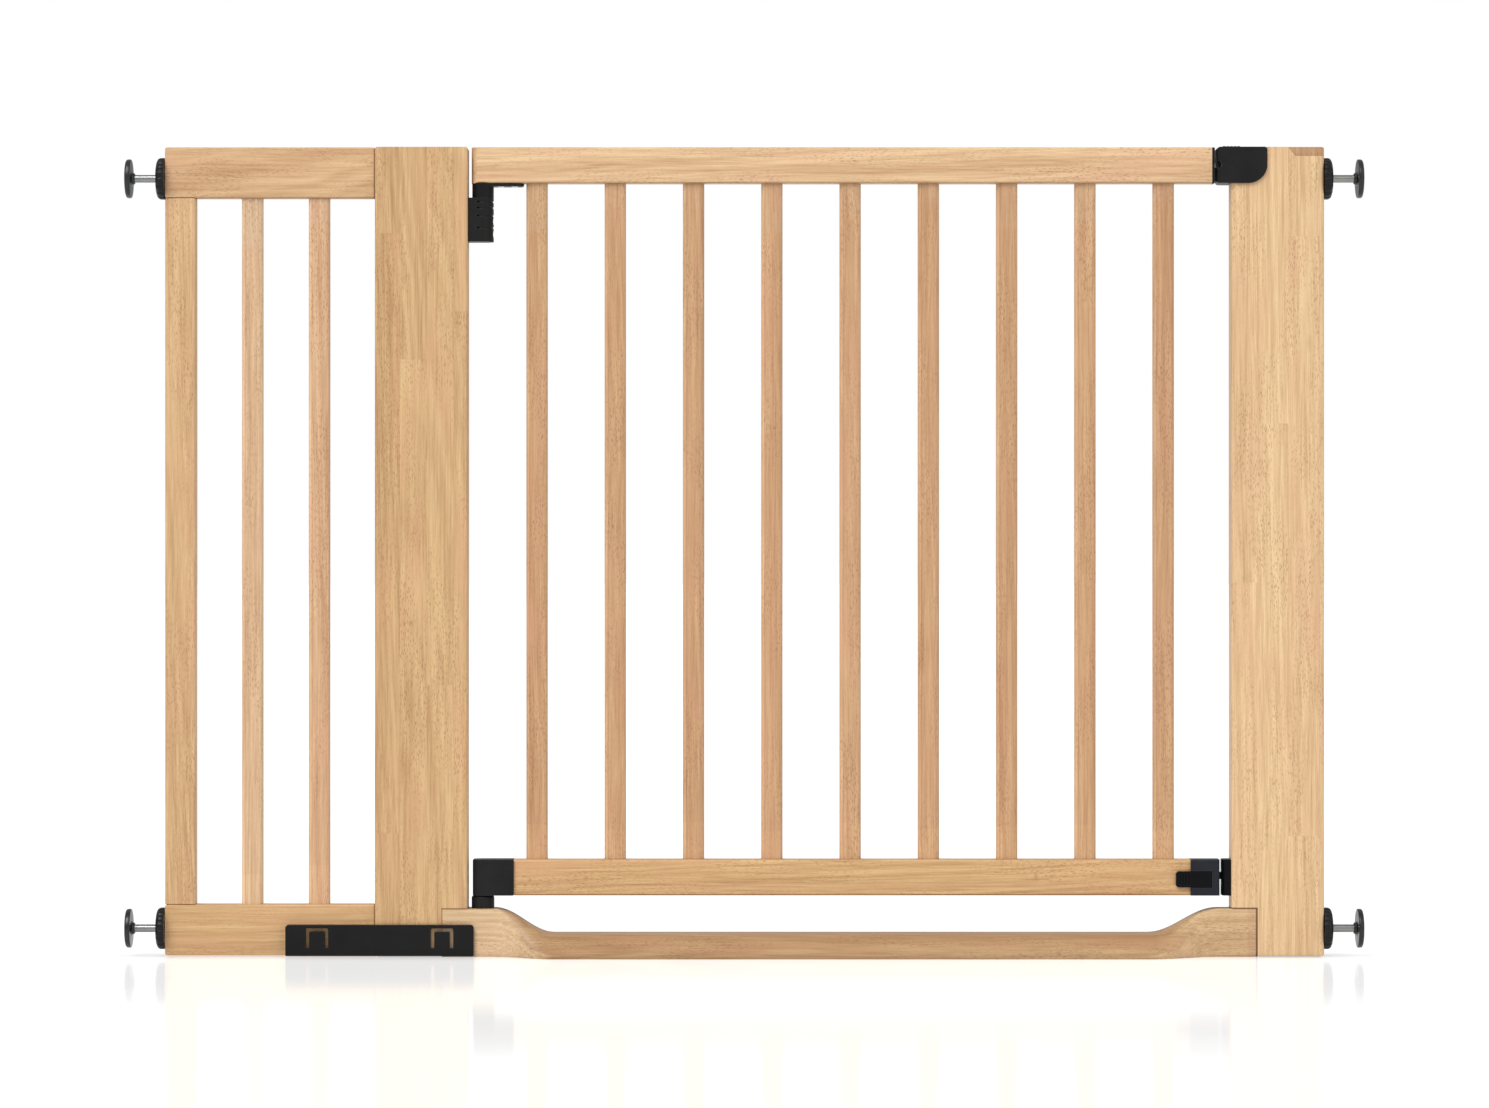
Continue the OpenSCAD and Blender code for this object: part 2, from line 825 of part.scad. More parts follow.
module lower_pivot_socket() {
    r = knuckle_radius + pivot_flare;
    edge = 2.5;
    z1 = threshold_end_height + pivot_height;
    color(BLACK)
        difference() {
            union() {
                translate([x_hinge, 0, threshold_end_height])
                    rotate_extrude()
                        polygon(concat(
                            [[0, 0], [r, 0]],
                            corner([r - edge, pivot_height - edge], edge, 0, ROUND_STEPS),
                            [[0, pivot_height]]
                        ));
                translate([x_hinge, 0, threshold_end_height - spigot_length])
                    cylinder(r = spigot_radius, h = spigot_length + CUT);
            }
            translate([x_hinge, 0, z1 - pivot_socket_depth])
                cylinder(r = pin_diameter / 2 + RUN, h = pivot_socket_depth + CUT);
        }
}

// ---- gate leaf ----
module gate_top_rail() {
    color(BEECH)
        difference() {
            intersection() {
                rail(x_leaf_left, x_leaf_right, z_top_rail, frame_height, rail_thickness);
                translate([0, 0, z_top_rail - CUT])
                    linear_extrude(rail_height + 2 * CUT)
                        union() {
                            translate([x_hinge, 0])
                                circle(r = leaf_end_radius);
                            translate([x_hinge, -half_rail - CUT])
                                square([x_leaf_right - x_hinge + CUT, rail_thickness + 2 * CUT]);
                        }
            }
            for (i = [1 : SLATS])
                slat(slat_x(i), z_top_rail - CUT, z_top_rail + slat_tenon, GLUE);
            translate([x_hinge, 0, z_top_rail - CUT])
                cylinder(r = pin_diameter / 2 + GLUE, h = upper_pin_inside + CUT + LOOSE);
            at_leaf_screws()
                screw_room();
            at_end_plate_screws()
                screw_room();
            tongue_room(x_leaf_right - tongue_reach, x_leaf_right + CUT);
        }
}

// Room for the latch tongue, with running room all round
module tongue_room(x0, x1) {
    half = tongue_width / 2 + tongue_room_gap;
    block([x0, -half, z_tongue - tongue_room_gap], [x1, half, z_tongue + tongue_height + tongue_room_gap]);
}

function slat_x(i) = x_first_slat + (i - 1) * slat_pitch;

module gate_slat(i) {
    color(BEECH_DARK)
        slat(slat_x(i), z_bottom_rail_top - slat_tenon, z_top_rail + slat_tenon);
}

// Reduced wooden end inside a plastic cap
module cap_tenon(x0, x1, gap = 0) {
    half = half_rail - cap_wall / 2 + gap;
    block([x0, -half, z_bottom_rail + cap_wall - gap], [x1, half, z_bottom_rail_top - cap_wall + gap]);
}

shoe_wall = 12;
x_shoe_tenon = x_hinge + shoe_wall;
x_lock_tenon = x_cover_right - lock_tenon_inset;

module gate_bottom_rail() {
    color(BEECH)
        difference() {
            union() {
                rail(x_shoe_right + GLUE, x_cover_left - GLUE,
                    z_bottom_rail, z_bottom_rail_top, rail_thickness);
                cap_tenon(x_shoe_tenon + GLUE, x_lock_tenon - GLUE);
            }
            for (i = [1 : SLATS])
                slat(slat_x(i), z_bottom_rail_top - slat_tenon, z_bottom_rail_top + CUT, GLUE);
            at_cap_screws()
                screw_room();
            bolt_room(x_bolt_left - lock_travel - bolt_end_room, x_lock_tenon + CUT);
            neck_room();
        }
}

upper_pin_inside = 20;
plate_inset = 1;
plate_corner = 5;
plate_edge = 2;
module upper_hinge_leaf() {
    x1 = x_hinge - knuckle_radius + hinge_plate_length;
    half = half_rail - plate_inset;
    color(BLACK)
        difference() {
            union() {
                translate([x_hinge, 0, z_knuckle])
                    cylinder(r = knuckle_radius, h = knuckle_height);
                intersection() {
                    translate([0, 0, z_top_rail - hinge_plate])
                        linear_extrude(hinge_plate)
                            polygon(outline(x_hinge, -half, x1, half, [0, plate_corner, plate_corner, 0]));
                    front_shape(rail_thickness)
                        polygon(outline(x_hinge, z_top_rail - hinge_plate, x1, z_top_rail,
                            [0, plate_edge, 0, 0]));
                }
            }
            translate([x_hinge, 0, z_knuckle - CUT])
                cylinder(r = pin_diameter / 2 + GLUE, h = knuckle_height + 2 * CUT);
            at_leaf_screws()
                screw_room();
        }
}

module upper_hinge_pin() {
    color(STEEL)
        translate([x_hinge, 0, z_socket_top - pin_socket_depth + pin_end_room])
            cylinder(r = pin_diameter / 2,
                h = pin_socket_depth - pin_end_room + LOOSE + knuckle_height + upper_pin_inside);
}

lower_pin_inside = 22;
module lower_pivot_pin() {
    color(STEEL)
        translate([x_hinge, 0, z_bottom_rail - LOOSE - pivot_socket_depth + pin_end_room])
            cylinder(r = pin_diameter / 2, h = pivot_socket_depth - pin_end_room + LOOSE + lower_pin_inside);
}

shoe_behind = 9.9;
module lower_hinge_shoe() {
    x0 = x_hinge - shoe_behind;
    edge = 1;
    color(BLACK)
        difference() {
            intersection() {
                translate([0, 0, z_bottom_rail])
                    linear_extrude(rail_height)
                        union() {
                            intersection() {
                                translate([x_hinge, 0])
                                    circle(r = half_cap);
                                translate([x0, -half_cap])
                                    square([half_cap, cap_depth]);
                            }
                            translate([x_hinge, -half_cap])
                                square([shoe_length, cap_depth]);
                        }
                front_shape(2 * cap_depth)
                    polygon(outline(x0, z_bottom_rail, x_shoe_right, z_bottom_rail_top, same(edge)));
            }
            cap_tenon(x_shoe_tenon, x_shoe_right + CUT, GLUE);
            translate([x_hinge, 0, z_bottom_rail - CUT])
                cylinder(r = pin_diameter / 2 + GLUE, h = lower_pin_inside + CUT + LOOSE);
            at_cap_screws()
                screw_room(half_cap);
        }
}

module gate_end_plate() {
    color(BLACK)
        difference() {
            side_shape(x_leaf_right, end_plate)
                polygon(outline(-half_rail, z_top_rail, half_rail, frame_height, same(wood_round)));
            tongue_room(x_leaf_right - CUT, x_leaf_right + end_plate + CUT);
            at_end_plate_screws()
                screw_room(end_plate + CUT);
        }
}

module gate_screws() {
    color(STEEL) {
        at_leaf_screws()
            screw();
        at_cap_screws()
            screw();
        at_end_plate_screws()
            screw();
    }
}

// ---- lower lock ----
x_bolt_right = x_strike + bolt_engagement;
x_bolt_left = x_cover_left - bolt_behind;
x_slider_left = x_cover_left - slider_tab;
y_slider = -half_rail - LOOSE - slider_plate;
x_neck = x_cover_left + neck_offset;

module bolt_room(x0, x1) {
    block([x0, -bolt_width / 2 - LOOSE, z_bolt - LOOSE],
        [x1, bolt_width / 2 + LOOSE, z_bolt + bolt_height + LOOSE]);
}

module neck_room() {
    block([x_neck - lock_travel - LOOSE, -half_cap - CUT, z_bolt - LOOSE],
        [x_neck + neck_length + LOOSE, 0, z_bolt + bolt_height + LOOSE]);
}

module lock_cover() {
    front = -half_cap - cover_bulge;
    corners = [cover_edge, cover_round, cover_round, cover_edge];
    color(BLACK)
        difference() {
            intersection() {
                translate([0, 0, z_bottom_rail])
                    linear_extrude(rail_height)
                        polygon(outline(x_cover_left, front, x_cover_right, half_cap, corners));
                side_shape(x_cover_left - CUT, cover_length + 2 * CUT)
                    polygon(outline(front, z_bottom_rail, half_cap, z_bottom_rail_top,
                        same(cover_long_round)));
            }
            cap_tenon(x_cover_left - CUT, x_lock_tenon, GLUE);
            bolt_room(x_lock_tenon - CUT, x_cover_right + CUT);
            neck_room();
            block([x_cover_left - CUT, -cap_depth, z_slider - channel_room],
                [x_cover_left + slider_reach_in + channel_end_room, -half_rail,
                    z_slider + slider_height + channel_room]);
            at_cap_screws()
                screw_room(half_cap);
        }
}

module lock_slider() {
    end_round = 3;
    inner_round = 1;
    grip_radius = 0.8;
    grip_inset = 4;
    grip_pitch = 3;
    grip_margin = 2.5;
    color(BLACK)
        difference() {
            union() {
                translate([0, y_slider + slider_plate / 2, 0])
                    front_shape(slider_plate)
                        polygon(outline(x_slider_left, z_slider, x_cover_left + slider_reach_in,
                            z_slider + slider_height, [end_round, inner_round, inner_round, end_round]));
                block([x_neck, y_slider + slider_plate / 2, z_bolt],
                    [x_neck + neck_length, -bolt_width / 2, z_bolt + bolt_height]);
            }
            for (i = [0 : 3])
                translate([x_slider_left + grip_inset + grip_pitch * i, y_slider, z_slider + grip_margin])
                    cylinder(r = grip_radius, h = slider_height - 2 * grip_margin, $fn = 24);
        }
}

module lock_bolt() {
    nose = 1.2;
    color(BLACK)
        front_shape(bolt_width)
            polygon([
                [x_bolt_left, z_bolt],
                [x_bolt_right - nose, z_bolt],
                [x_bolt_right, z_bolt + nose],
                [x_bolt_right, z_bolt + bolt_height - nose],
                [x_bolt_right - nose, z_bolt + bolt_height],
                [x_bolt_left, z_bolt + bolt_height]
            ]);
}

module strike_block() {
    half = 12;
    front_round = 5;
    pocket_wall = 0.8;
    pocket_half = bolt_width / 2 + strike_pocket_room;
    color(BLACK)
        difference() {
            translate([0, 0, z_bottom_rail])
                linear_extrude(rail_height)
                    polygon(outline(x_strike, -half, x_open_right, half, [front_round, 0, 0, front_round]));
            block([x_strike - CUT, -pocket_half, z_bolt - strike_pocket_room],
                [x_open_right - pocket_wall, pocket_half, z_bolt + bolt_height + strike_pocket_room]);
            at_strike_screws()
                screw_room();
        }
}

// ---- top latch ----
x_carriage = x_housing + latch_inset;
button_plate = 3.2;
z_carriage_top = frame_height - housing_wall - LOOSE - button_plate;
button_plate_length = 29.5;
button_inset = 6.8;
button_room = 0.4;
x_button = x_housing + button_inset;

housing_lip = 0.3;
housing_round = 3;
housing_nose = 8;
housing_edge = 1.5;
module latch_housing() {
    x1 = x_housing + housing_length;
    z0 = z_top_rail - housing_lip;
    half = half_post + housing_wall;
    front_corners = [housing_round, housing_corner, housing_round, housing_round];
    plan_corners = [housing_nose, housing_edge, housing_edge, housing_nose];
    color(BLACK)
        difference() {
            intersection() {
                front_shape(2 * half)
                    polygon(outline(x_housing, z0, x1, frame_height, front_corners, FINE_STEPS));
                translate([0, 0, z0 - CUT])
                    linear_extrude(frame_height)
                        polygon(outline(x_housing, -half, x1, half, plan_corners, FINE_STEPS));
            }
            block([x_open_right, -half_post - GLUE, z0 - CUT],
                [x1 + CUT, half_post + GLUE, frame_height - housing_wall]);
            block([x_housing + housing_wall, -mortise_half_width, z_tongue - carriage_floor_room],
                [x_open_right + CUT, mortise_half_width, frame_height - housing_wall]);
            tongue_room(x_housing - CUT, x_housing + housing_wall + CUT);
            block([x_button - button_room, -button_half_width - button_room,
                    frame_height - housing_wall - CUT],
                [x_button + button_length + latch_travel + button_room, button_half_width + button_room,
                    frame_height + CUT]);
            at_housing_screws()
                screw_room(latch_reach);
        }
}

module latch_bolt() {
    tongue_round = 2;
    color(BLACK)
        difference() {
            union() {
                block([x_carriage, -carriage_half_width, z_tongue],
                    [x_carriage + carriage_length, carriage_half_width, z_carriage_top]);
                translate([0, 0, z_tongue])
                    linear_extrude(tongue_height)
                        polygon(outline(x_housing - tongue_reach, -tongue_width / 2, x_carriage + CUT,
                            tongue_width / 2, [tongue_round, 0, 0, tongue_round]));
            }
            bar_x(x_carriage + carriage_length - spring_seat_depth, z_spring,
                spring_radius + spring_wire + LOOSE, spring_seat_depth + CUT);
        }
}

module latch_button() {
    ribs = 4;
    rib_radius = 0.5;
    color(BLACK) {
        block([x_carriage, -carriage_half_width, z_carriage_top],
            [x_carriage + button_plate_length, carriage_half_width, z_carriage_top + button_plate]);
        difference() {
            block([x_button, -button_half_width, z_carriage_top + button_plate],
                [x_button + button_length, button_half_width, frame_height + button_rise]);
            for (i = [1 : ribs])
                translate([x_button + i * button_length / (ribs + 1), button_half_width + CUT,
                    frame_height + button_rise])
                    rotate([90, 0, 0])
                        cylinder(r = rib_radius, h = 2 * (button_half_width + CUT), $fn = 24);
        }
    }
}

// Closed coil of round wire along +Z
module coil_spring(radius, wire, turns, length) {
    around = 6;
    steps = 12;
    total = turns * steps;
    function place(k) =
        let (a = 360 * k / steps)
        let (rise = wire + (length - 2 * wire) * k / total)
        [for (j = [0 : around - 1])
            let (b = 360 * j / around)
            [(radius + wire * cos(b)) * cos(a), (radius + wire * cos(b)) * sin(a), rise + wire * sin(b)]];
    points = [for (k = [0 : total]) each place(k)];
    sides = [
        for (k = [0 : total - 1])
            for (j = [0 : around - 1])
                [k * around + j, k * around + (j + 1) % around, (k + 1) * around + (j + 1) % around,
                    (k + 1) * around + j]
    ];
    first = [for (j = [around - 1 : -1 : 0]) j];
    last = [for (j = [0 : around - 1]) total * around + j];
    polyhedron(points, concat([first], sides, [last]), convexity = 8);
}

module latch_spring() {
    turns = 7;
    x0 = x_carriage + carriage_length - spring_seat_depth;
    x1 = x_open_right + mortise_depth;
    color(STEEL)
        translate([x0, 0, z_spring])
            rotate([0, 90, 0])
                coil_spring(spring_radius, spring_wire, turns, x1 - x0);
}

// ---- spindles ----
rod_in_pad = 5;
groove_radius = 1.2;
wheel_dome = 6.8;
nut_floor = 1.2;

// Domed wheel: the flat back faces the frame, the dome faces the wall
module hand_wheel(side, z) {
    r = wheel_diameter / 2;
    hub = 8;
    edge = 1;
    steps = 8;
    groove_shift = 0.5;
    flank = wheel_thickness - wheel_dome;
    dome = [for (i = [0 : steps])
        [hub + (r - hub) * cos(90 * i / steps), flank + wheel_dome * sin(90 * i / steps)]];
    color(BLACK)
        at_spindle(side, z)
            translate([0, 0, wheel_gap])
                difference() {
                    rotate_extrude()
                        polygon(concat([[0, 0], [r - edge, 0], [r, edge]], dome, [[0, wheel_thickness]]));
                    translate([0, 0, -CUT])
                        cylinder(r = bore_radius + LOOSE, h = wheel_thickness + 2 * CUT);
                    translate([0, 0, -CUT])
                        hexagon(nut_radius + GLUE, nut_floor + nut_height + CUT);
                    for (i = [0 : wheel_grooves - 1])
                        rotate([0, 0, 360 * i / wheel_grooves])
                            translate([r + groove_shift, 0, -CUT])
                                cylinder(r = groove_radius, h = wheel_thickness + 2 * CUT, $fn = 24);
                }
}

module wheel_nut(side, z) {
    color(STEEL)
        at_spindle(side, z)
            translate([0, 0, wheel_gap + nut_floor - GLUE])
                difference() {
                    hexagon(nut_radius, nut_height);
                    translate([0, 0, -CUT])
                        cylinder(r = bore_radius, h = nut_height + 2 * CUT);
                }
}

module spindle_rod(side, z) {
    rod_length = spindle_inside + wheel_gap + wheel_thickness + spindle_show + rod_in_pad;
    nose = 1;
    color(STEEL)
        at_spindle(side, z)
            translate([0, 0, -spindle_inside]) {
                translate([0, 0, nose])
                    cylinder(r = spindle_diameter / 2, h = rod_length - nose);
                cylinder(r1 = spindle_diameter / 2 - nose, r2 = spindle_diameter / 2, h = nose);
            }
}

// Round pad with a flat wall face and rounded edges
module wall_pad(side, z) {
    r = pad_diameter / 2;
    wall_round = 3.4;
    back_round = pad_thickness - wall_round;
    steps = 6;
    function back_angle(i) = 90 * (1 - i / steps);
    back = [for (i = [0 : steps])
        [r - back_round * (1 - cos(back_angle(i))), back_round * (1 - sin(back_angle(i)))]];
    wall = corner([r - wall_round, pad_thickness - wall_round], wall_round, 0, ROUND_STEPS);
    color(BLACK)
        at_spindle(side, z)
            translate([0, 0, spindle_reach - pad_thickness])
                difference() {
                    rotate_extrude()
                        polygon(concat([[0, 0]], back, wall, [[0, pad_thickness]]));
                    translate([0, 0, -CUT])
                        cylinder(r = spindle_diameter / 2 + GLUE, h = rod_in_pad + CUT + GLUE);
                }
}

// Side and height of each spindle, in the order of CORNERS
SPINDLES = [[-1, z_spindles[0]], [-1, z_spindles[1]], [1, z_spindles[0]], [1, z_spindles[1]]];

left_post();
right_post();
threshold();
frame_bolts();
spindle_bushes();
frame_screws();
extension_top_rail();
extension_bottom_rail();
extension_stile();
extension_pins();
for (i = [1 : EXT_SLATS])
    extension_slat(i);
joining_bracket();
upper_hinge_socket();
lower_pivot_socket();
strike_block();
latch_housing();
latch_bolt();
latch_button();
latch_spring();
gate_top_rail();
gate_bottom_rail();
for (i = [1 : SLATS])
    gate_slat(i);
upper_hinge_leaf();
upper_hinge_pin();
lower_hinge_shoe();
lower_pivot_pin();
gate_end_plate();
lock_cover();
gate_screws();
lock_slider();
lock_bolt();
for (i = [0 : 3])
    hand_wheel(SPINDLES[i][0], SPINDLES[i][1]);
for (i = [0 : 3])
    wheel_nut(SPINDLES[i][0], SPINDLES[i][1]);
for (i = [0 : 3])
    spindle_rod(SPINDLES[i][0], SPINDLES[i][1]);
for (i = [0 : 3])
    wall_pad(SPINDLES[i][0], SPINDLES[i][1]);
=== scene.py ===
"""Looks of a wooden safety gate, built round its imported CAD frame. Everything is in metres.

X runs along the gate, Y through it (the front faces -Y), and Z is up.
Boards keep their CAD meshes, softened by modifiers. Spindles, hand wheels, wall pads
and the latch spring are rebuilt in finer mesh work and stand for their CAD nodes.
"""
import json
import math

import bmesh
import bpy
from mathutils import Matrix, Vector

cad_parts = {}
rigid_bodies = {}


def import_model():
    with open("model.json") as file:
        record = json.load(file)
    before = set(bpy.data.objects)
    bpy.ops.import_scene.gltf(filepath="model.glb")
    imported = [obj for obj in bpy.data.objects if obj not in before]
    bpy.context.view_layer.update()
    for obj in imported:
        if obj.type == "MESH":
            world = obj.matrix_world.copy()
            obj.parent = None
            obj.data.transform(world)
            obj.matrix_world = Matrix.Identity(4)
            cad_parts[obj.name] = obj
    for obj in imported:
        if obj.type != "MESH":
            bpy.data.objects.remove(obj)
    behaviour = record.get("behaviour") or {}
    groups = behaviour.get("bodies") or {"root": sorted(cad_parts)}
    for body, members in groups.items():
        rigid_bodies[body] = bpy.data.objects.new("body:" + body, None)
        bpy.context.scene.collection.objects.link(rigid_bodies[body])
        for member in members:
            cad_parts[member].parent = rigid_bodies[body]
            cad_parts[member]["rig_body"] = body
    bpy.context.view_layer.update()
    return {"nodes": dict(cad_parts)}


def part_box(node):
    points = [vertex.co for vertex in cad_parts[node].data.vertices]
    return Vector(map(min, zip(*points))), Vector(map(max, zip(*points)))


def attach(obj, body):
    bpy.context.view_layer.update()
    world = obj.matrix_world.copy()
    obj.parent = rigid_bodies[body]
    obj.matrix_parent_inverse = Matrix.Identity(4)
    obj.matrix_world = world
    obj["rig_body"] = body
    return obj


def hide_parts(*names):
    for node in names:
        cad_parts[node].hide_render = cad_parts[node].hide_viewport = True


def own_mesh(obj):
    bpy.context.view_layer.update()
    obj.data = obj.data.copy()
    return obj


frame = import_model()
nodes = frame["nodes"]

MM = 0.001
WHITE = (1, 1, 1, 1)
CORNERS = ("top_left", "bottom_left", "top_right", "bottom_right")


# ---- small helpers -------------------------------------------------------------------

def add(tree, kind, inputs=None, **settings):
    """Adds one shader node, sets its fields, and links or fills its inputs."""
    made = tree.nodes.new("ShaderNode" + kind)
    for field, value in settings.items():
        setattr(made, field, value)
    for key, value in (inputs or {}).items():
        if isinstance(value, bpy.types.NodeSocket):
            tree.links.new(value, made.inputs[key])
        else:
            made.inputs[key].default_value = value
    return made


def maths(tree, operation, first, second=0.0, third=0.0):
    """Result socket of one Math node."""
    return add(tree, "Math", {0: first, 1: second, 2: third}, operation=operation).outputs[0]


def remap(tree, value, low, high, to_low=0.0, to_high=1.0, smooth=False):
    """Value moved from one range to another, clamped at both ends."""
    kind = "SMOOTHSTEP" if smooth else "LINEAR"
    inputs = {"Value": value, "From Min": low, "From Max": high,
              "To Min": to_low, "To Max": to_high}
    return add(tree, "MapRange", inputs, interpolation_type=kind).outputs[0]


def blend_colour(tree, amount, first, second, mode="MIX"):
    """Colour socket of one Mix node."""
    mix = add(tree, "Mix", {0: amount, 6: first, 7: second}, data_type="RGBA", blend_type=mode)
    return mix.outputs[2]


def noise(tree, vector, scale, detail=2.0, roughness=0.5):
    """Noise node with values from 0 to 1."""
    inputs = {"Vector": vector, "Scale": scale, "Detail": detail, "Roughness": roughness}
    return add(tree, "TexNoise", inputs, normalize=True)


def stretched(tree, vector, scale):
    """Vector scaled by a different factor along each axis."""
    return add(tree, "VectorMath", {0: vector, 1: scale}, operation="MULTIPLY").outputs[0]


def scaled_colour(factor, colour):
    """Colour times one factor, as RGBA."""
    return tuple(factor * part for part in colour) + (1,)


def new_material(name):
    """Empty node material with its Principled shader: (material, tree, shader)."""
    material = bpy.data.materials.new(name)
    material.use_nodes = True
    tree = material.node_tree
    shader = tree.nodes["Principled BSDF"]
    return material, tree, shader


# ---- wood ----------------------------------------------------------------------------

GRAIN_LIGHT = (0.735, 0.500, 0.268, 1)
GRAIN_DARK = (0.440, 0.238, 0.108, 1)
GRAIN_PINK = (0.640, 0.355, 0.200, 1)
FLECK_COLOUR = (0.270, 0.122, 0.050, 1)
KNOT_COLOUR = (0.200, 0.085, 0.035, 1)

# Changes per metre across, into and along the board, from the slowest layer to the finest
SWAY_SCALE = (14, 14, 2.6)
KNOT_SCALE = (19, 19, 7.5)
PATCH_SCALE = (30, 30, 7)
CROWD_SCALE = (42, 42, 9)
STREAK_SCALE = (62, 62, 1.5)
THREAD_SCALE = (430, 430, 9)
FLECK_SCALE = (820, 820, 180)
HAIR_SCALE = (1150, 1150, 30)

# What each layer adds to the way from the light colour to the dark one
STREAK_SHARE = 0.32
THREAD_SHARE = 0.46
RING_SHARE = 0.38
HAIR_SHARE = 0.15

# Growth rings: how close they are, and where their heart line runs behind the face
RINGS_PER_METRE = 230.0
HEART_SIDE = 12 * MM
HEART_DEPTH = 45 * MM
HEART_LEAN = 0.055

FLECKS = 0.56
WOOD_ROUGHNESS = 0.40
# Painted shade: how much undersides and tight corners between parts are darkened
PAINTED_UNDERSIDE_SHADE = (0.74, 0.68, 0.62)
PAINTED_CONTACT_SHADE = (0.50, 0.42, 0.36)


def beech_group():
    """Node group for beech: Z runs along the grain, X across the board's face, Y into it.

    Streaks and slanted growth rings give the figure, short dark dashes the flecks.
    """
    tree = bpy.data.node_groups.new("beech_grain", "ShaderNodeTree")
    sockets = (("Vector", "INPUT", "Vector"), ("Figure", "INPUT", "Float"),
               ("Flecks", "INPUT", "Float"), ("Knots", "INPUT", "Float"),
               ("Tone", "INPUT", "Float"), ("Color", "OUTPUT", "Color"),
               ("Height", "OUTPUT", "Float"), ("Gloss", "OUTPUT", "Float"))
    for label, way, kind in sockets:
        tree.interface.new_socket(label, in_out=way, socket_type="NodeSocket" + kind)
    given = tree.nodes.new("NodeGroupInput")
    place = given.outputs["Vector"]

    # The fibres wander a little across the board
    slow = noise(tree, stretched(tree, place, SWAY_SCALE), 1.0, 2.0)
    shift = add(tree, "VectorMath", {0: slow.outputs["Color"], 1: (0.5, 0.5, 0.5)},
                operation="SUBTRACT").outputs[0]
    sway = stretched(tree, shift, (16 * MM, 16 * MM, 0))
    fibre_place = add(tree, "VectorMath", {0: place, 1: sway}, operation="ADD").outputs[0]

    broad = noise(tree, stretched(tree, fibre_place, STREAK_SCALE), 1.0, 3.0, 0.55)
    fine = noise(tree, stretched(tree, fibre_place, THREAD_SCALE), 1.0, 3.0, 0.68)
    hair = noise(tree, stretched(tree, fibre_place, HAIR_SCALE), 1.0, 1.0, 0.5)

    # Growth rings about a slanted heart line behind the face
    parts = add(tree, "SeparateXYZ", {0: fibre_place})
    lean = maths(tree, "MULTIPLY", parts.outputs["Z"], HEART_LEAN)
    side = maths(tree, "ADD", parts.outputs["X"], HEART_SIDE)
    deep = maths(tree, "ADD", maths(tree, "ADD", parts.outputs["Y"], HEART_DEPTH), lean)
    squares = maths(tree, "ADD", maths(tree, "POWER", side, 2.0), maths(tree, "POWER", deep, 2.0))
    ring_place = maths(tree, "MULTIPLY", maths(tree, "SQRT", squares), RINGS_PER_METRE)
    rings = add(tree, "TexNoise", {"W": ring_place, "Scale": 1.0, "Detail": 1.5},
                noise_dimensions="1D", normalize=True).outputs["Fac"]
    rings = remap(tree, rings, 0.36, 0.66)
    rings = maths(tree, "MULTIPLY", rings, given.outputs["Figure"])

    streaks = remap(tree, broad.outputs["Fac"], 0.33, 0.68)
    threads = remap(tree, fine.outputs["Fac"], 0.34, 0.68)
    hairs = remap(tree, hair.outputs["Fac"], 0.30, 0.70, -HAIR_SHARE, HAIR_SHARE)
    amount = maths(tree, "MULTIPLY_ADD", streaks, STREAK_SHARE, hairs)
    amount = maths(tree, "ADD", amount, maths(tree, "MULTIPLY", threads, THREAD_SHARE))
    amount = maths(tree, "ADD", amount, maths(tree, "MULTIPLY", rings, RING_SHARE))
    amount = maths(tree, "ADD", amount, given.outputs["Tone"])
    wood = blend_colour(tree, amount, GRAIN_LIGHT, GRAIN_DARK)

    # Warm patches, a hand's breadth long
    patch = noise(tree, stretched(tree, place, PATCH_SCALE), 1.0, 3.0, 0.55)
    warm = remap(tree, patch.outputs["Fac"], 0.45, 0.72, 0.0, 0.45, True)
    wood = blend_colour(tree, warm, wood, GRAIN_PINK)

    # Flecks: dashes along the grain, thicker in some places than in others
    cells = add(tree, "TexVoronoi", {"Vector": stretched(tree, fibre_place, FLECK_SCALE),
                                     "Scale": 1.0, "Randomness": 1.0})
    dash = remap(tree, cells.outputs["Distance"], 0.20, 0.42, 1.0, 0.0, True)
    crowd = noise(tree, stretched(tree, place, CROWD_SCALE), 1.0, 2.0)
    where = remap(tree, crowd.outputs["Fac"], 0.40, 0.64, 0.15, 1.0, True)
    dash = maths(tree, "MULTIPLY", dash, where)
    dash = maths(tree, "MULTIPLY", dash, given.outputs["Flecks"])
    wood = blend_colour(tree, dash, wood, FLECK_COLOUR)

    # Pin knots, a few to a board, each in a darker halo drawn out along the grain
    spots = add(tree, "TexVoronoi", {"Vector": stretched(tree, place, KNOT_SCALE),
                                     "Scale": 1.0, "Randomness": 1.0})
    core = remap(tree, spots.outputs["Distance"], 0.014, 0.040, 1.0, 0.0, True)
    halo = remap(tree, spots.outputs["Distance"], 0.020, 0.120, 0.26, 0.0, True)
    knot = maths(tree, "MULTIPLY", maths(tree, "MAXIMUM", core, halo), given.outputs["Knots"])
    wood = blend_colour(tree, knot, wood, KNOT_COLOUR)

    # Fibres stand proud of the pores, and the flecks are sunk and duller
    pores = maths(tree, "MULTIPLY", threads, 0.5)
    relief = maths(tree, "MULTIPLY_ADD", hair.outputs["Fac"], 0.5, pores)
    relief = maths(tree, "SUBTRACT", relief, dash)
    dull = maths(tree, "MULTIPLY", dash, 0.25)
    gloss = maths(tree, "MULTIPLY_ADD", hair.outputs["Fac"], 0.16, dull)
    result = tree.nodes.new("NodeGroupOutput")
    for label, socket in (("Color", wood), ("Height", relief), ("Gloss", gloss)):
        tree.links.new(socket, result.inputs[label])
    return tree


BEECH = beech_group()


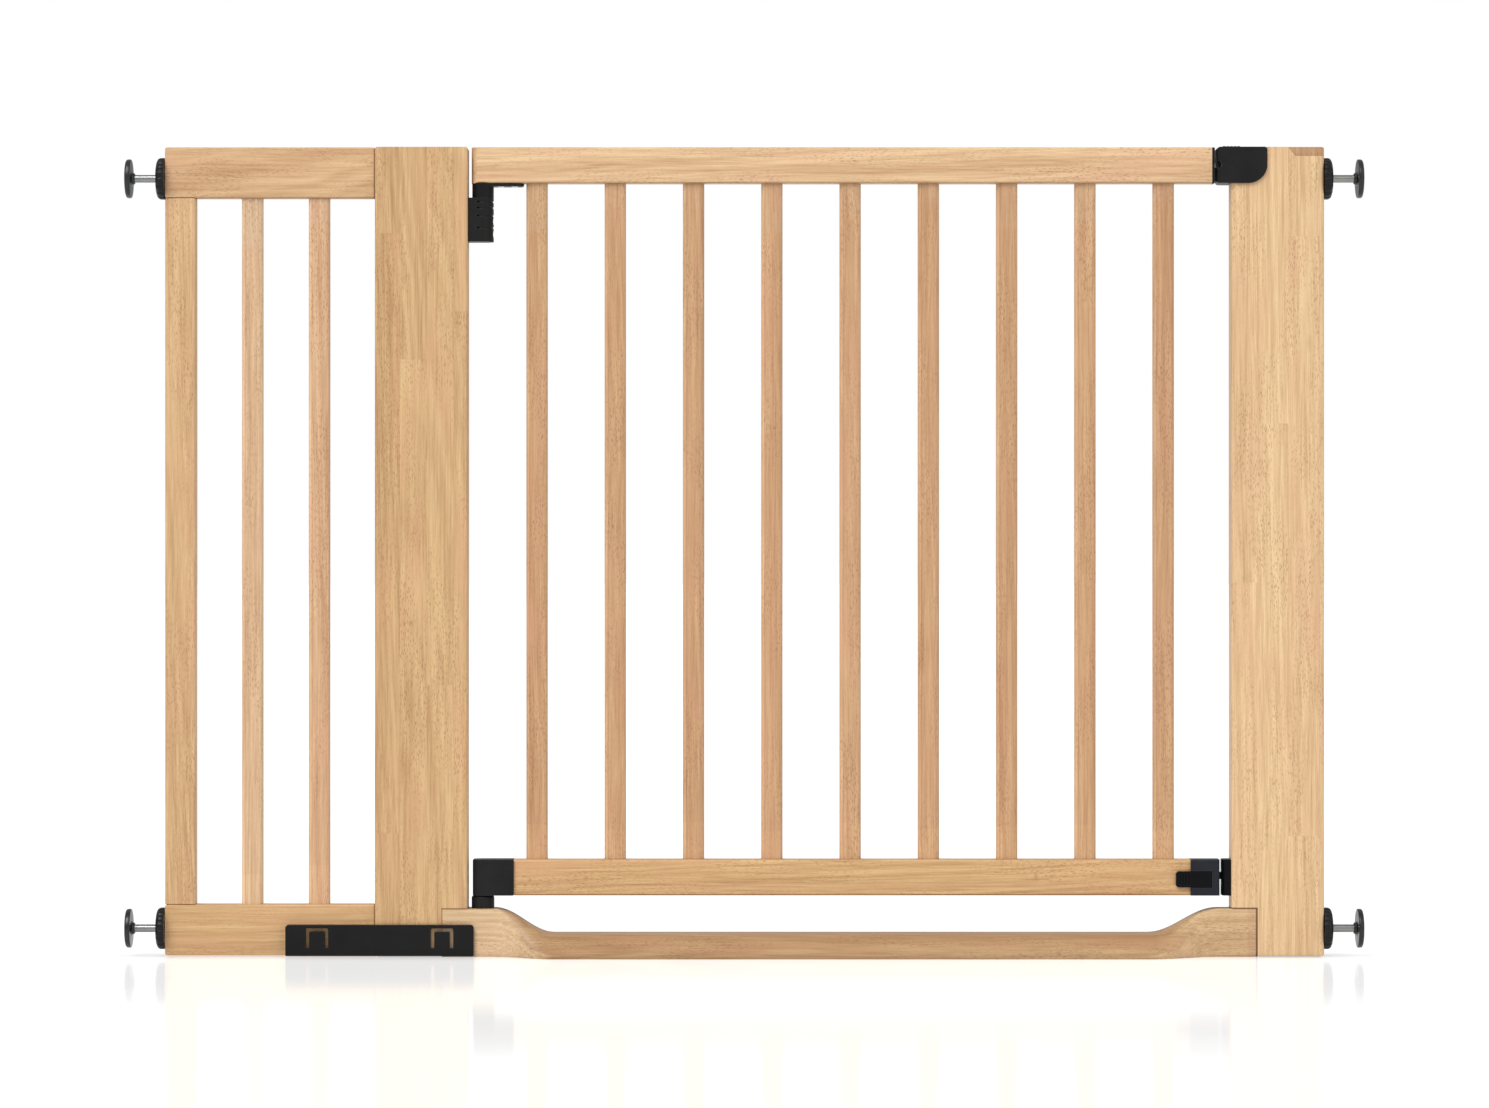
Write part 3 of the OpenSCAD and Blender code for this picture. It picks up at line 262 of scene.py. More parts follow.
def staved(tree, place, first_edge, width, length, seed):
    """Splits a board into glued staves: (shifted place, tone of each stave).

    Rows of staves lie side by side along the grain, and each row is cut up at its own heights.
    """
    row_tones, stave_tones, seam_tone = 0.09, 0.04, 0.13
    parts = add(tree, "SeparateXYZ", {0: place})
    across = maths(tree, "DIVIDE", maths(tree, "SUBTRACT", parts.outputs["X"], first_edge), width)
    row = maths(tree, "FLOOR", across)
    row_seed = maths(tree, "ADD", row, seed)
    first = add(tree, "TexWhiteNoise", {"W": row_seed}, noise_dimensions="1D")
    start = maths(tree, "MULTIPLY", first.outputs["Value"], length)
    along = maths(tree, "DIVIDE", maths(tree, "ADD", parts.outputs["Z"], start), length)
    column = maths(tree, "FLOOR", along)
    cell = maths(tree, "MULTIPLY_ADD", column, 17.3, row_seed)
    second = add(tree, "TexWhiteNoise", {"W": cell}, noise_dimensions="1D")
    jump = stretched(tree, second.outputs["Color"], (0.9, 0.9, 3.7))
    moved = add(tree, "VectorMath", {0: place, 1: jump}, operation="ADD").outputs[0]
    row_tone = remap(tree, first.outputs["Color"], 0.0, 1.0, -row_tones, row_tones)
    stave_tone = remap(tree, second.outputs["Value"], 0.0, 1.0, -stave_tones, stave_tones)
    tone = maths(tree, "ADD", row_tone, stave_tone)
    gap = maths(tree, "ABSOLUTE", maths(tree, "SUBTRACT", maths(tree, "FRACT", across), 0.5))
    seam = remap(tree, gap, 0.482, 0.5, 0.0, seam_tone, True)
    return moved, maths(tree, "ADD", tone, seam)


def object_place(tree):
    """Object coordinates split into X, Y and Z."""
    return add(tree, "SeparateXYZ", {0: add(tree, "TexCoord").outputs["Object"]}).outputs


def object_normal(tree):
    """Object normal split into X, Y and Z."""
    return add(tree, "SeparateXYZ", {0: add(tree, "TexCoord").outputs["Normal"]}).outputs


def multiplied(tree, amount, colour, factor):
    """Colour times a factor, by an amount from 0 to 1."""
    return blend_colour(tree, amount, colour, (*factor, 1), "MULTIPLY")


def both(tree, *masks):
    """Product of masks."""
    result = masks[0]
    for mask in masks[1:]:
        result = maths(tree, "MULTIPLY", result, mask)
    return result


def wood_material(name, grain_axis, seed, tone=0.0, tint=(1, 1, 1), figure=0.6, knots=0.0,
                  staves=None, detail=None, tight_colour=PAINTED_CONTACT_SHADE):
    """Lacquered beech. grain_axis is the board's long axis; staves are (first edge, width, length).

    detail(tree, colour) adds what only this board shows, such as a painted shadow line at a joint.
    """
    material, tree, shader = new_material(name)
    place = add(tree, "TexCoord").outputs["Object"]
    turns = {"Z": (0, 0, 0), "X": (0, math.radians(-90), 0)}
    place = add(tree, "Mapping", {"Vector": place, "Rotation": turns[grain_axis]}).outputs[0]
    if staves:
        place, stave_tone = staved(tree, place, *staves, seed)
        tone = maths(tree, "ADD", stave_tone, tone)
    # Each board is cut from its own place in the wood
    offset = (0.137 * seed, 0.071 * seed, 0.913 * seed)
    place = add(tree, "VectorMath", {0: place, 1: offset}, operation="ADD").outputs[0]
    grain = add(tree, "Group", {"Vector": place, "Figure": figure, "Flecks": FLECKS, "Knots": knots,
                                "Tone": tone}, node_tree=BEECH)
    colour = multiplied(tree, 1.0, grain.outputs["Color"], tint)
    if detail:
        colour = detail(tree, colour)
    # Painted shade: undersides, and tight corners where other parts stand close, are darkened in
    # the colour
    underside_shade = remap(tree, object_normal(tree)["Z"], -0.25, -0.80, 0.0, 1.0, True)
    colour = multiplied(tree, underside_shade, colour, PAINTED_UNDERSIDE_SHADE)
    open_sky = add(tree, "AmbientOcclusion", {"Distance": 7 * MM}, samples=4).outputs["AO"]
    tight = remap(tree, open_sky, 0.62, 0.20)
    colour = multiplied(tree, tight, colour, tight_colour)
    tree.links.new(colour, shader.inputs["Base Color"])
    rough = maths(tree, "ADD", grain.outputs["Gloss"], WOOD_ROUGHNESS)
    tree.links.new(rough, shader.inputs["Roughness"])
    bump = add(tree, "Bump", {"Height": grain.outputs["Height"], "Strength": 0.35,
                              "Distance": 0.25 * MM})
    tree.links.new(bump.outputs[0], shader.inputs["Normal"])
    shader.inputs["IOR"].default_value = 1.46
    shader.inputs["Coat Weight"].default_value = 0.12
    shader.inputs["Coat Roughness"].default_value = 0.28
    return material


# ---- plastic, steel, rubber ----------------------------------------------------------

def edge_mask(tree, radius, sharp=0.985):
    """1 near convex and concave edges, 0 on open faces."""
    rounded = add(tree, "Bevel", {"Radius": radius}, samples=4).outputs[0]
    plain = add(tree, "NewGeometry").outputs["Normal"]
    turned = add(tree, "VectorMath", {0: rounded, 1: plain}, operation="DOT_PRODUCT")
    return remap(tree, turned.outputs["Value"], sharp, 0.80, 0.0, 1.0, True)


def plastic_material(name, colour=(0.0070, 0.0070, 0.0072), roughness=0.42, grain=0.06 * MM,
                     level=0.16):
    """Moulded plastic with a fine spark-eroded grain, and paler edges that are partly rubbed wear
    and partly a painted highlight.
    """
    material, tree, shader = new_material(name)
    place = add(tree, "TexCoord").outputs["Object"]
    pits = noise(tree, place, 2600.0, 2.0, 0.6)
    cloud = noise(tree, place, 34.0, 3.0, 0.55)
    rubbed = edge_mask(tree, 1.2 * MM)
    dark = scaled_colour(0.84, colour)
    light = scaled_colour(1.22, colour)
    # Paler edges: partly rubbed wear, partly a painted highlight along the edges
    worn_and_highlit = tuple(3.0 * part + 0.016 for part in colour) + (1,)
    base = blend_colour(tree, remap(tree, cloud.outputs["Fac"], 0.3, 0.7), dark, light)
    base = blend_colour(tree, maths(tree, "MULTIPLY", rubbed, 0.6), base, worn_and_highlit)
    tree.links.new(base, shader.inputs["Base Color"])
    rough = remap(tree, cloud.outputs["Fac"], 0.3, 0.7, roughness - 0.05, roughness + 0.07)
    rough = maths(tree, "SUBTRACT", rough, maths(tree, "MULTIPLY", rubbed, 0.10))
    tree.links.new(rough, shader.inputs["Roughness"])
    bump = add(tree, "Bump", {"Height": pits.outputs["Fac"], "Strength": 0.5, "Distance": grain})
    tree.links.new(bump.outputs[0], shader.inputs["Normal"])
    shader.inputs["Specular IOR Level"].default_value = level
    return material


def steel_material(name, stretch=(1, 1, 1), shade=1.0, smooth=0.20):
    """Zinc plate: faint brush marks, cloudy passivation, brighter rubbed edges."""
    material, tree, shader = new_material(name)
    place = add(tree, "TexCoord").outputs["Object"]
    brushed = noise(tree, stretched(tree, place, stretch), 900.0, 3.0, 0.6)
    cloud = noise(tree, place, 70.0, 3.0, 0.55)
    rubbed = edge_mask(tree, 0.4 * MM, 0.97)
    cold = scaled_colour(shade, (0.60, 0.63, 0.66))
    warm = scaled_colour(shade, (0.74, 0.72, 0.66))
    bright = scaled_colour(shade, (0.88, 0.88, 0.88))
    base = blend_colour(tree, remap(tree, cloud.outputs["Fac"], 0.35, 0.65), cold, warm)
    base = blend_colour(tree, maths(tree, "MULTIPLY", rubbed, 0.6), base, bright)
    tree.links.new(base, shader.inputs["Base Color"])
    rough = remap(tree, brushed.outputs["Fac"], 0.3, 0.7, smooth, smooth + 0.14)
    tree.links.new(rough, shader.inputs["Roughness"])
    bump = add(tree, "Bump", {"Height": brushed.outputs["Fac"], "Strength": 0.25,
                              "Distance": 0.02 * MM})
    tree.links.new(bump.outputs[0], shader.inputs["Normal"])
    shader.inputs["Metallic"].default_value = 1.0
    return material


# ---- CAD nodes: softened edges and materials -----------------------------------------

# Nodes whose pierced flat faces can't be joined into single polygons
KEPT_TRIANGLES = ("extension_bottom_rail", "latch_housing", "threshold", "upper_hinge_leaf")


def finish_node(name, material, edge=0.5 * MM, segments=2):
    """Gives a CAD node its material, and soft edges through modifiers alone."""
    thing = nodes[name]
    thing.data.materials.clear()
    thing.data.materials.append(material)
    for polygon in thing.data.polygons:
        polygon.use_smooth = True
        polygon.material_index = 0
    if "custom_normal" in thing.data.attributes:
        thing.data.attributes.remove(thing.data.attributes["custom_normal"])
    weld = thing.modifiers.new("weld", "WELD")
    weld.merge_threshold = 0.002 * MM
    if name not in KEPT_TRIANGLES:
        flat = thing.modifiers.new("flat faces", "DECIMATE")
        flat.decimate_type = "DISSOLVE"
        flat.angle_limit = math.radians(0.8)
    bevel = thing.modifiers.new("soft edges", "BEVEL")
    bevel.width = edge
    bevel.segments = segments
    bevel.limit_method = "ANGLE"
    bevel.angle_limit = math.radians(32)
    bevel.harden_normals = True
    bevel.use_clamp_overlap = True


POST_STAVE = 27 * MM
WIDE_STAVE = 31 * MM
STAVE_LENGTH = 0.60
# Width of the painted shadow lines in joints
SHADOW_LINE_WIDTH = 0.9 * MM


def line_beside(tree, value, edge, side, width=SHADOW_LINE_WIDTH):
    """1 until about a line's width past an edge, then 0. side is the way past it, +1 or -1."""
    return remap(tree, value, edge + side * 1.15 * width, edge + side * 0.6 * width)


def notch_line(strength, width=SHADOW_LINE_WIDTH):
    """Shadow line along the top of a post's notch, where the threshold is let in."""
    low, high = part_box("threshold")

    def detail(tree, colour):
        place = object_place(tree)
        inside = both(tree, remap(tree, place["X"], low.x - 1.0 * MM, low.x - 0.2 * MM),
                      remap(tree, place["X"], high.x + 1.0 * MM, high.x + 0.2 * MM))
        shade_line = both(tree, line_beside(tree, place["Z"], high.z, 1, width), inside)
        return multiplied(tree, shade_line, colour, strength)
    return detail


def latch_post_detail():
    """The notch's shadow line, and painted shade on the floor of the scoop in the post's top edge.
    """
    low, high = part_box("right_post")
    notch = notch_line((0.30, 0.21, 0.17), 1.4 * MM)
    scoop_height = 9.4 * MM

    def detail(tree, colour):
        place = object_place(tree)
        # Painted shade on the recessed floor of the scoop
        scoop_shade = both(tree, remap(tree, place["Y"], low.y + 0.5 * MM, low.y + 1.1 * MM),
                   remap(tree, object_normal(tree)["Y"], -0.3, -0.7),
                   remap(tree, place["Z"], high.z - scoop_height, high.z - scoop_height + 0.8 * MM))
        colour = multiplied(tree, scoop_shade, colour, (0.69, 0.61, 0.60))
        return notch(tree, colour)
    return detail


def threshold_detail():
    """Painted light on the pale upright end faces, painted shade on the browner slope and middle,
    and painted shadow lines at both notches.
    """
    low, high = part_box("threshold")
    open_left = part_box("left_post")[1].x
    open_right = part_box("right_post")[0].x
    ramp = 86 * MM
    band = 10 * MM

    def detail(tree, colour):
        place = object_place(tree)
        # Painted light on the upright end faces and painted shade on the tilted top and the middle
        across = remap(tree, place["X"], open_left + ramp, open_right - ramp)
        painted_face_light = blend_colour(tree, across, (1.02, 1.12, 1.25, 1), (0.93, 0.97, 0.98, 1))
        near_latch = remap(tree, place["X"], open_right - 0.9 * ramp, open_right - 0.4 * ramp)
        painted_slope_shade = blend_colour(tree, near_latch, (0.70, 0.67, 0.64, 1), (0.88, 0.92, 0.89, 1))
        tilted = remap(tree, object_normal(tree)["Z"], 0.22, 0.42)
        middle = both(tree, remap(tree, place["X"], open_left + 0.8 * ramp, open_left + ramp),
                      remap(tree, place["X"], open_right - 0.8 * ramp, open_right - ramp))
        painted_light_and_shade = blend_colour(tree, maths(tree, "MAXIMUM", tilted, middle), painted_face_light, painted_slope_shade)
        colour = blend_colour(tree, 1.0, colour, painted_light_and_shade, "MULTIPLY")
        block = remap(tree, place["X"], high.x - band, high.x - band + 0.6 * MM)
        colour = multiplied(tree, block, colour, (0.93, 0.89, 0.91))
        # Painted shadow lines in the joints at both notches
        painted_joint_shadow = line_beside(tree, place["X"], high.x, -1, 1.6 * MM)
        colour = multiplied(tree, painted_joint_shadow, colour, (0.26, 0.18, 0.14))
        return multiplied(tree, line_beside(tree, place["X"], low.x, 1), colour, (0.66, 0.58, 0.52))
    return detail


def rail_end_shadow(name):
    """Painted shadow line at a rail's end, in the joint against the post."""
    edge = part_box(name)[1].x

    def detail(tree, colour):
        shade_line = line_beside(tree, object_place(tree)["X"], edge, -1, 1.4 * MM)
        return multiplied(tree, shade_line, colour, (0.34, 0.26, 0.20))
    return detail


def slat_detail(name, seed):
    """Painted highlights on the rounded long edges, a painted shade line beside them, and paler
    slat ends.
    """
    low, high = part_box(name)
    upper = (34 + 16 * math.sin(1.9 * seed)) * MM
    lower = (33 + 5 * math.sin(2.7 * seed)) * MM
    tenon = 14 * MM

    def detail(tree, colour):
        turned = object_normal(tree)["X"]
        # Painted highlights on the rounded long edges, and a painted shade line beside the left one
        left_highlight = remap(tree, turned, -0.26, -0.50, 0.0, 1.0, True)
        right_highlight = remap(tree, turned, 0.30, 0.60, 0.0, 1.0, True)
        shade_line = remap(tree, maths(tree, "ABSOLUTE", maths(tree, "ADD", turned, 0.20)), 0.09, 0.02)
        colour = multiplied(tree, left_highlight, colour, (1.18, 1.22, 1.26))
        colour = multiplied(tree, right_highlight, colour, (1.05, 1.10, 1.16))
        colour = multiplied(tree, shade_line, colour, (0.86, 0.84, 0.86))
        height = object_place(tree)["Z"]
        top = remap(tree, height, high.z - tenon - upper, high.z - tenon - upper + 0.5 * MM)
        foot = remap(tree, height, low.z + tenon + lower, low.z + tenon + lower - 0.5 * MM)
        colour = multiplied(tree, top, colour, (1.01, 1.05, 1.10))
        return multiplied(tree, foot, colour, (1.06, 1.06, 1.05))
    return detail


def finish_board(node, label, grain_axis, seed, edge, segments=2, **looks):
    """Gives a board its own beech and soft edges. edge is in millimetres."""
    wood = wood_material("beech_" + label, grain_axis, seed, **looks)
    finish_node(node, wood, edge * MM, segments)


def finish_slat(name, seed, number, tone, tint):
    """A slat is plain wood with painted highlights on its edges, and paler ends of its own."""
    finish_board(name, name, "Z", seed, 0.4, tone=tone, tint=tint, figure=0.45,
                 detail=slat_detail(name, number))


def finish_boards():
    """Gives every board its wood, each with a tone and tint of its own."""
    left_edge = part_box("left_post")[0].x
    finish_board("left_post", "left_post", "Z", 3, 0.9, tone=0.03, tint=(0.94, 0.94, 0.87),
                 knots=0.9, staves=(left_edge - 2 * MM, POST_STAVE, STAVE_LENGTH),
                 detail=notch_line((0.62, 0.54, 0.47)))
    left_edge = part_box("right_post")[0].x
    finish_board("right_post", "right_post", "Z", 11, 0.9, tone=-0.08, tint=(1.04, 1.08, 1.11),
                 knots=0.9, staves=(left_edge - 5 * MM, WIDE_STAVE, STAVE_LENGTH),
                 detail=latch_post_detail())
    finish_board("threshold", "threshold", "X", 5, 0.5, tone=0.03, detail=threshold_detail())
    finish_board("extension_top_rail", "extension_top", "X", 7, 0.7, tint=(1.0, 1.0, 1.02),
                 figure=0.9, detail=rail_end_shadow("extension_top_rail"))
    # This rail shows through the joining bracket's slots; painted light brightens it where the
    # bracket closes round it, so it stays pale there instead of shaded
    finish_board("extension_bottom_rail", "extension_low", "X", 8, 0.7, tone=0.03,
                 tint=(0.91, 0.89, 0.79), detail=rail_end_shadow("extension_bottom_rail"),
                 tight_colour=(1.9, 1.8, 1.6))
    finish_board("extension_stile", "stile", "Z", 9, 0.8, tone=0.02, tint=(0.96, 0.95, 0.92),
                 knots=0.5)
    finish_board("gate_top_rail", "top_rail", "X", 21, 1.3, 3, tone=-0.05, tint=(1.05, 1.08, 1.16),
                 figure=0.8)
    finish_board("gate_bottom_rail", "low_rail", "X", 22, 1.3, 3, tone=0.02,
                 tint=(0.95, 0.93, 0.83), figure=0.9)
    for i in range(1, 10):
        tone = 0.05 + 0.05 * math.sin(2.3 * i)
        finish_slat(f"gate_slat_{i}", 31 + 3 * i, i, tone, (0.87, 0.80, 0.79))
    for i, tint in ((1, (1.02, 1.06, 1.20)), (2, (0.97, 0.93, 1.00))):
        finish_slat(f"extension_slat_{i}", 71 + 3 * i, 10 + i, 0.03, tint)


def finish_fittings():
    """Gives the plastic and steel fittings their materials, and returns the steel."""
    black = plastic_material("black_plastic")
    grey_black = plastic_material("housing_plastic", (0.0105, 0.0105, 0.0105))
    # This darkest black is partly painted shade on the strike block, which sits in shade by the
    # post
    deep_black = plastic_material("lock_plastic", (0.0028, 0.0029, 0.0036), level=0.10)
    blue_black = plastic_material("cover_plastic", (0.0130, 0.0148, 0.0200))
    fittings = {
        black: ("joining_bracket", "upper_hinge_leaf", "gate_end_plate", "spindle_bushes",
                "latch_bolt", "latch_button"),
        grey_black: ("latch_housing", "lower_hinge_shoe", "upper_hinge_socket",
                     "lower_pivot_socket"),
        deep_black: ("strike_block", "lock_slider", "lock_bolt"),
        blue_black: ("lock_cover",),
    }
    for material, names in fittings.items():
        for name in names:
            finish_node(name, material, 0.3 * MM)
    steel = steel_material("zinc_steel")
    fixings = ["frame_bolts", "frame_screws", "gate_screws", "extension_pins", "upper_hinge_pin",
               "lower_pivot_pin"] + [f"wheel_nut_{corner}" for corner in CORNERS]
    for name in fixings:
        finish_node(name, steel, 0.15 * MM)
    return steel


# ---- rebuilt pieces ------------------------------------------------------------------

def lathe(name, rings, close=True):
    """Mesh from rings of points, each joined to the next; the two ends are closed with fans."""
    mesh = bmesh.new()
    made = [[mesh.verts.new(point) for point in ring] for ring in rings]
    around = len(rings[0])
    for lower, upper in zip(made, made[1:]):
        for i in range(around):
            j = (i + 1) % around
            mesh.faces.new((lower[i], lower[j], upper[j], upper[i]))
    if close:
        for ring, flip in ((made[0], True), (made[-1], False)):
            centre = mesh.verts.new(sum((v.co for v in ring), Vector()) / around)
            for i in range(around):
                j = (i + 1) % around
                corners = (ring[j], ring[i], centre) if flip else (ring[i], ring[j], centre)
                mesh.faces.new(corners)
    bmesh.ops.recalc_face_normals(mesh, faces=mesh.faces)
    data = bpy.data.meshes.new(name)
    mesh.to_mesh(data)
    mesh.free()
    data.shade_smooth()
    data.set_sharp_from_angle(angle=math.radians(38))
    piece = bpy.data.objects.new(name, data)
    bpy.context.scene.collection.objects.link(piece)
    return piece


def settle(piece, node, material):
    """Puts the material on a rebuilt piece and lets it stand for its CAD node."""
    piece.data.materials.append(material)
    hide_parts(node)
    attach(piece, nodes[node]["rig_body"])


class Turned:
    """Where a round node of a spindle lies: its inner end, its size, and points round its axis."""

    def __init__(self, node):
        low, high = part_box(node)
        self.side = -1 if low.x < 0 else 1
        self.inner = low.x if self.side > 0 else high.x
        self.length = high.x - low.x
        self.radius = (high.z - low.z) / 2
        self.middle = (low + high) / 2

    def point(self, radius, angle, along):
        """Point at a radius and angle round the axis, a distance outward from the inner end."""
        return Vector((self.inner + self.side * along, self.middle.y + radius * math.cos(angle),
                       self.middle.z + radius * math.sin(angle)))

    def ring(self, radius, along, around):
        """Ring of points, all at one radius and one distance outward."""
        return [self.point(radius, 2 * math.pi * i / around, along) for i in range(around)]


def threaded_rod(corner, steel):
    """Spindle: cut M8 thread inside the wheel, then a plain shank out to the pad."""
    node = "spindle_rod_" + corner
    spot = Turned(node)
    wheel = Turned("hand_wheel_" + corner)
    length = spot.length
    shank_start = abs(wheel.inner - spot.inner) + wheel.length - 1.5 * MM
    pitch = 1.25 * MM
    depth = 0.55 * MM
    nose = 1.2 * MM
    nose_slope = 0.8
    steps, around = 6, 32
    count = int(shank_start / pitch * steps)
    places = [shank_start * k / count for k in range(count + 1)]
    places += [shank_start + 0.4 * MM, length - 0.4 * MM, length]
    rings = []
    for along in places:
        run_out = min(1.0, max(0.0, (shank_start - along) / pitch))
        ring = []
        for i in range(around):
            angle = 2 * math.pi * i / around
            # Flanks between flat crests and roots, one turn of the helix to a pitch
            phase = (along / pitch - i / around) % 1.0
            wave = abs(2 * phase - 1)
            scoop_shade = run_out * depth * min(1.0, max(0.0, 1.35 * wave - 0.15))
            taper = max(0.0, nose - along) * nose_slope
            ring.append(spot.point(spot.radius - max(scoop_shade, taper), angle, along))
        rings.append(ring)
    settle(lathe(node + "_threaded", rings), node, steel)


def hand_wheel(corner, black):
    """Domed wheel: flat back to the frame, dome to the wall, with finger flutes round the rim."""
    node = "hand_wheel_" + corner
    spot = Turned(node)
    thick = spot.length
    rim = spot.radius
    bore = 4.4 * MM
    flutes, around = 16, 192
    flute_depth = 0.9 * MM
    rim_round = 0.9 * MM
    hub = 8.0 * MM
    flank = 2.6 * MM
    dome_height = thick - flank - 0.4 * MM
    squareness = 0.62

    profile = [(bore, 0.0), (rim - rim_round, 0.0)]
    profile += [(rim - rim_round * (1 - math.sin(a)), rim_round * (1 - math.cos(a)))
                for a in (math.radians(t) for t in (22.5, 45, 67.5, 90))]
    for i in range(1, 25):
        a = math.radians(90 * i / 24)
        profile.append((hub + (rim - hub) * math.cos(a) ** squareness,
                        flank + dome_height * math.sin(a) ** squareness))
    profile += [(hub - 0.5 * MM, flank + dome_height + 0.1 * MM), (hub - 0.9 * MM, thick),
                (bore + 0.5 * MM, thick), (bore, thick - 0.5 * MM), (bore, 0.3 * MM)]
    rings = []
    for radius, along in profile:
        # The flutes run out towards the hub
        share = max(0.0, (radius - 0.55 * rim) / (0.45 * rim))
        ring = []
        for i in range(around):
            angle = 2 * math.pi * i / around
            wave = 0.5 + 0.5 * math.cos(flutes * angle)
            dip = flute_depth * share * share * wave ** 3
            ring.append(spot.point(radius - dip, angle, along))
        rings.append(ring)
    piece = lathe(node + "_fluted", rings + [rings[0]], close=False)
    weld(piece)
    settle(piece, node, black)


def weld(piece):
    """Joins points that lie on each other, where a closed profile meets itself."""
    mesh = bmesh.new()
    mesh.from_mesh(piece.data)
    bmesh.ops.remove_doubles(mesh, verts=mesh.verts, dist=0.001 * MM)
    bmesh.ops.recalc_face_normals(mesh, faces=mesh.faces)
    mesh.to_mesh(piece.data)
    mesh.free()


def wall_pad(corner, rubber):
    """Round pad: rounded back, flat wall face with ring grooves that grip."""
    node = "wall_pad_" + corner
    spot = Turned(node)
    thick = spot.length
    rim = spot.radius
    collar = 5.6 * MM
    plate = 5.4 * MM
    seat = thick - plate
    inner_round = 1.2 * MM
    wall_round = 2.4 * MM
    rod = 4.0 * MM
    rod_depth = 4.9 * MM
    profile = [(rod, rod_depth), (rod, 0.0), (collar - 0.5 * MM, 0.0), (collar, 0.5 * MM),
               (collar + 0.5 * MM, seat - 1.2 * MM), (collar + 1.4 * MM, seat - 0.2 * MM),
               (collar + 2.4 * MM, seat), (rim - inner_round, seat)]
    for i in range(1, 7):
        a = math.radians(90 * i / 6)
        profile.append((rim - inner_round * (1 - math.sin(a)),
                        seat + inner_round * (1 - math.cos(a))))
    for i in range(1, 9):
        a = math.radians(90 * i / 8)
        profile.append((rim - wall_round * (1 - math.cos(a)),
                        thick - wall_round + wall_round * math.sin(a)))
    groove, step = 0.45 * MM, 1.6 * MM
    radius = rim - wall_round - step
    while radius > 4 * MM:
        profile += [(radius + 0.35 * MM, thick), (radius + 0.15 * MM, thick - groove),
                    (radius - 0.15 * MM, thick - groove), (radius - 0.35 * MM, thick)]
        radius -= step
    profile.append((1.0 * MM, thick))
    around = 72
    rings = [spot.ring(r, along, around) for r, along in profile]
    settle(lathe(node + "_grooved", rings), node, rubber)


def coil_spring(steel):
    """Latch spring: a round wire wound round X."""
    node = "latch_spring"
    low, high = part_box(node)
    middle = (low + high) / 2
    wire = 0.4 * MM
    radius = (high.z - low.z) / 2 - wire
    turns, steps, around = 7, 40, 10
    count = turns * steps
    rings = []
    for k in range(count + 1):
        angle = 2 * math.pi * k / steps
        along = low.x + wire + (high.x - low.x - 2 * wire) * k / count
        ring = []
        for i in range(around):
            b = 2 * math.pi * i / around
            r = radius + wire * math.cos(b)
            ring.append(Vector((along + wire * math.sin(b), middle.y + r * math.cos(angle),
                                middle.z + r * math.sin(angle))))
        rings.append(ring)
    piece = lathe("latch_spring_wound", rings)
    settle(piece, node, steel)
    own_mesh(piece)


# ---- stage, light and camera ---------------------------------------------------------

def build_stage():
    """Glossy white floor under the gate: it fades into the white behind, and mirrors a little."""
    data = bpy.data.meshes.new("floor")
    half = 60.0
    corners = [(-half, -half, 0), (half, -half, 0), (half, half, 0), (-half, half, 0)]
    data.from_pydata(corners, [], [(0, 1, 2, 3)])
    floor = bpy.data.objects.new("floor", data)
    bpy.context.scene.collection.objects.link(floor)
    material, tree, shader = new_material("floor_white")
    cloud = noise(tree, add(tree, "TexCoord").outputs["Object"], 3.0, 3.0)
    rough = remap(tree, cloud.outputs["Fac"], 0.3, 0.7, 0.09, 0.12)
    tree.links.new(rough, shader.inputs["Roughness"])
    # A glow keeps the floor as white as the background; it fades where the gate stands close, which
    # paints a soft contact shadow under it
    open_sky = add(tree, "AmbientOcclusion", {"Distance": 60 * MM}, samples=8).outputs["AO"]
    glow_with_painted_shadow = remap(tree, open_sky, 0.35, 0.95, 0.38, 0.68)
    tree.links.new(glow_with_painted_shadow, shader.inputs["Emission Strength"])
    shader.inputs["Emission Color"].default_value = WHITE
    shader.inputs["Base Color"].default_value = (0.28, 0.28, 0.28, 1)
    data.materials.append(material)


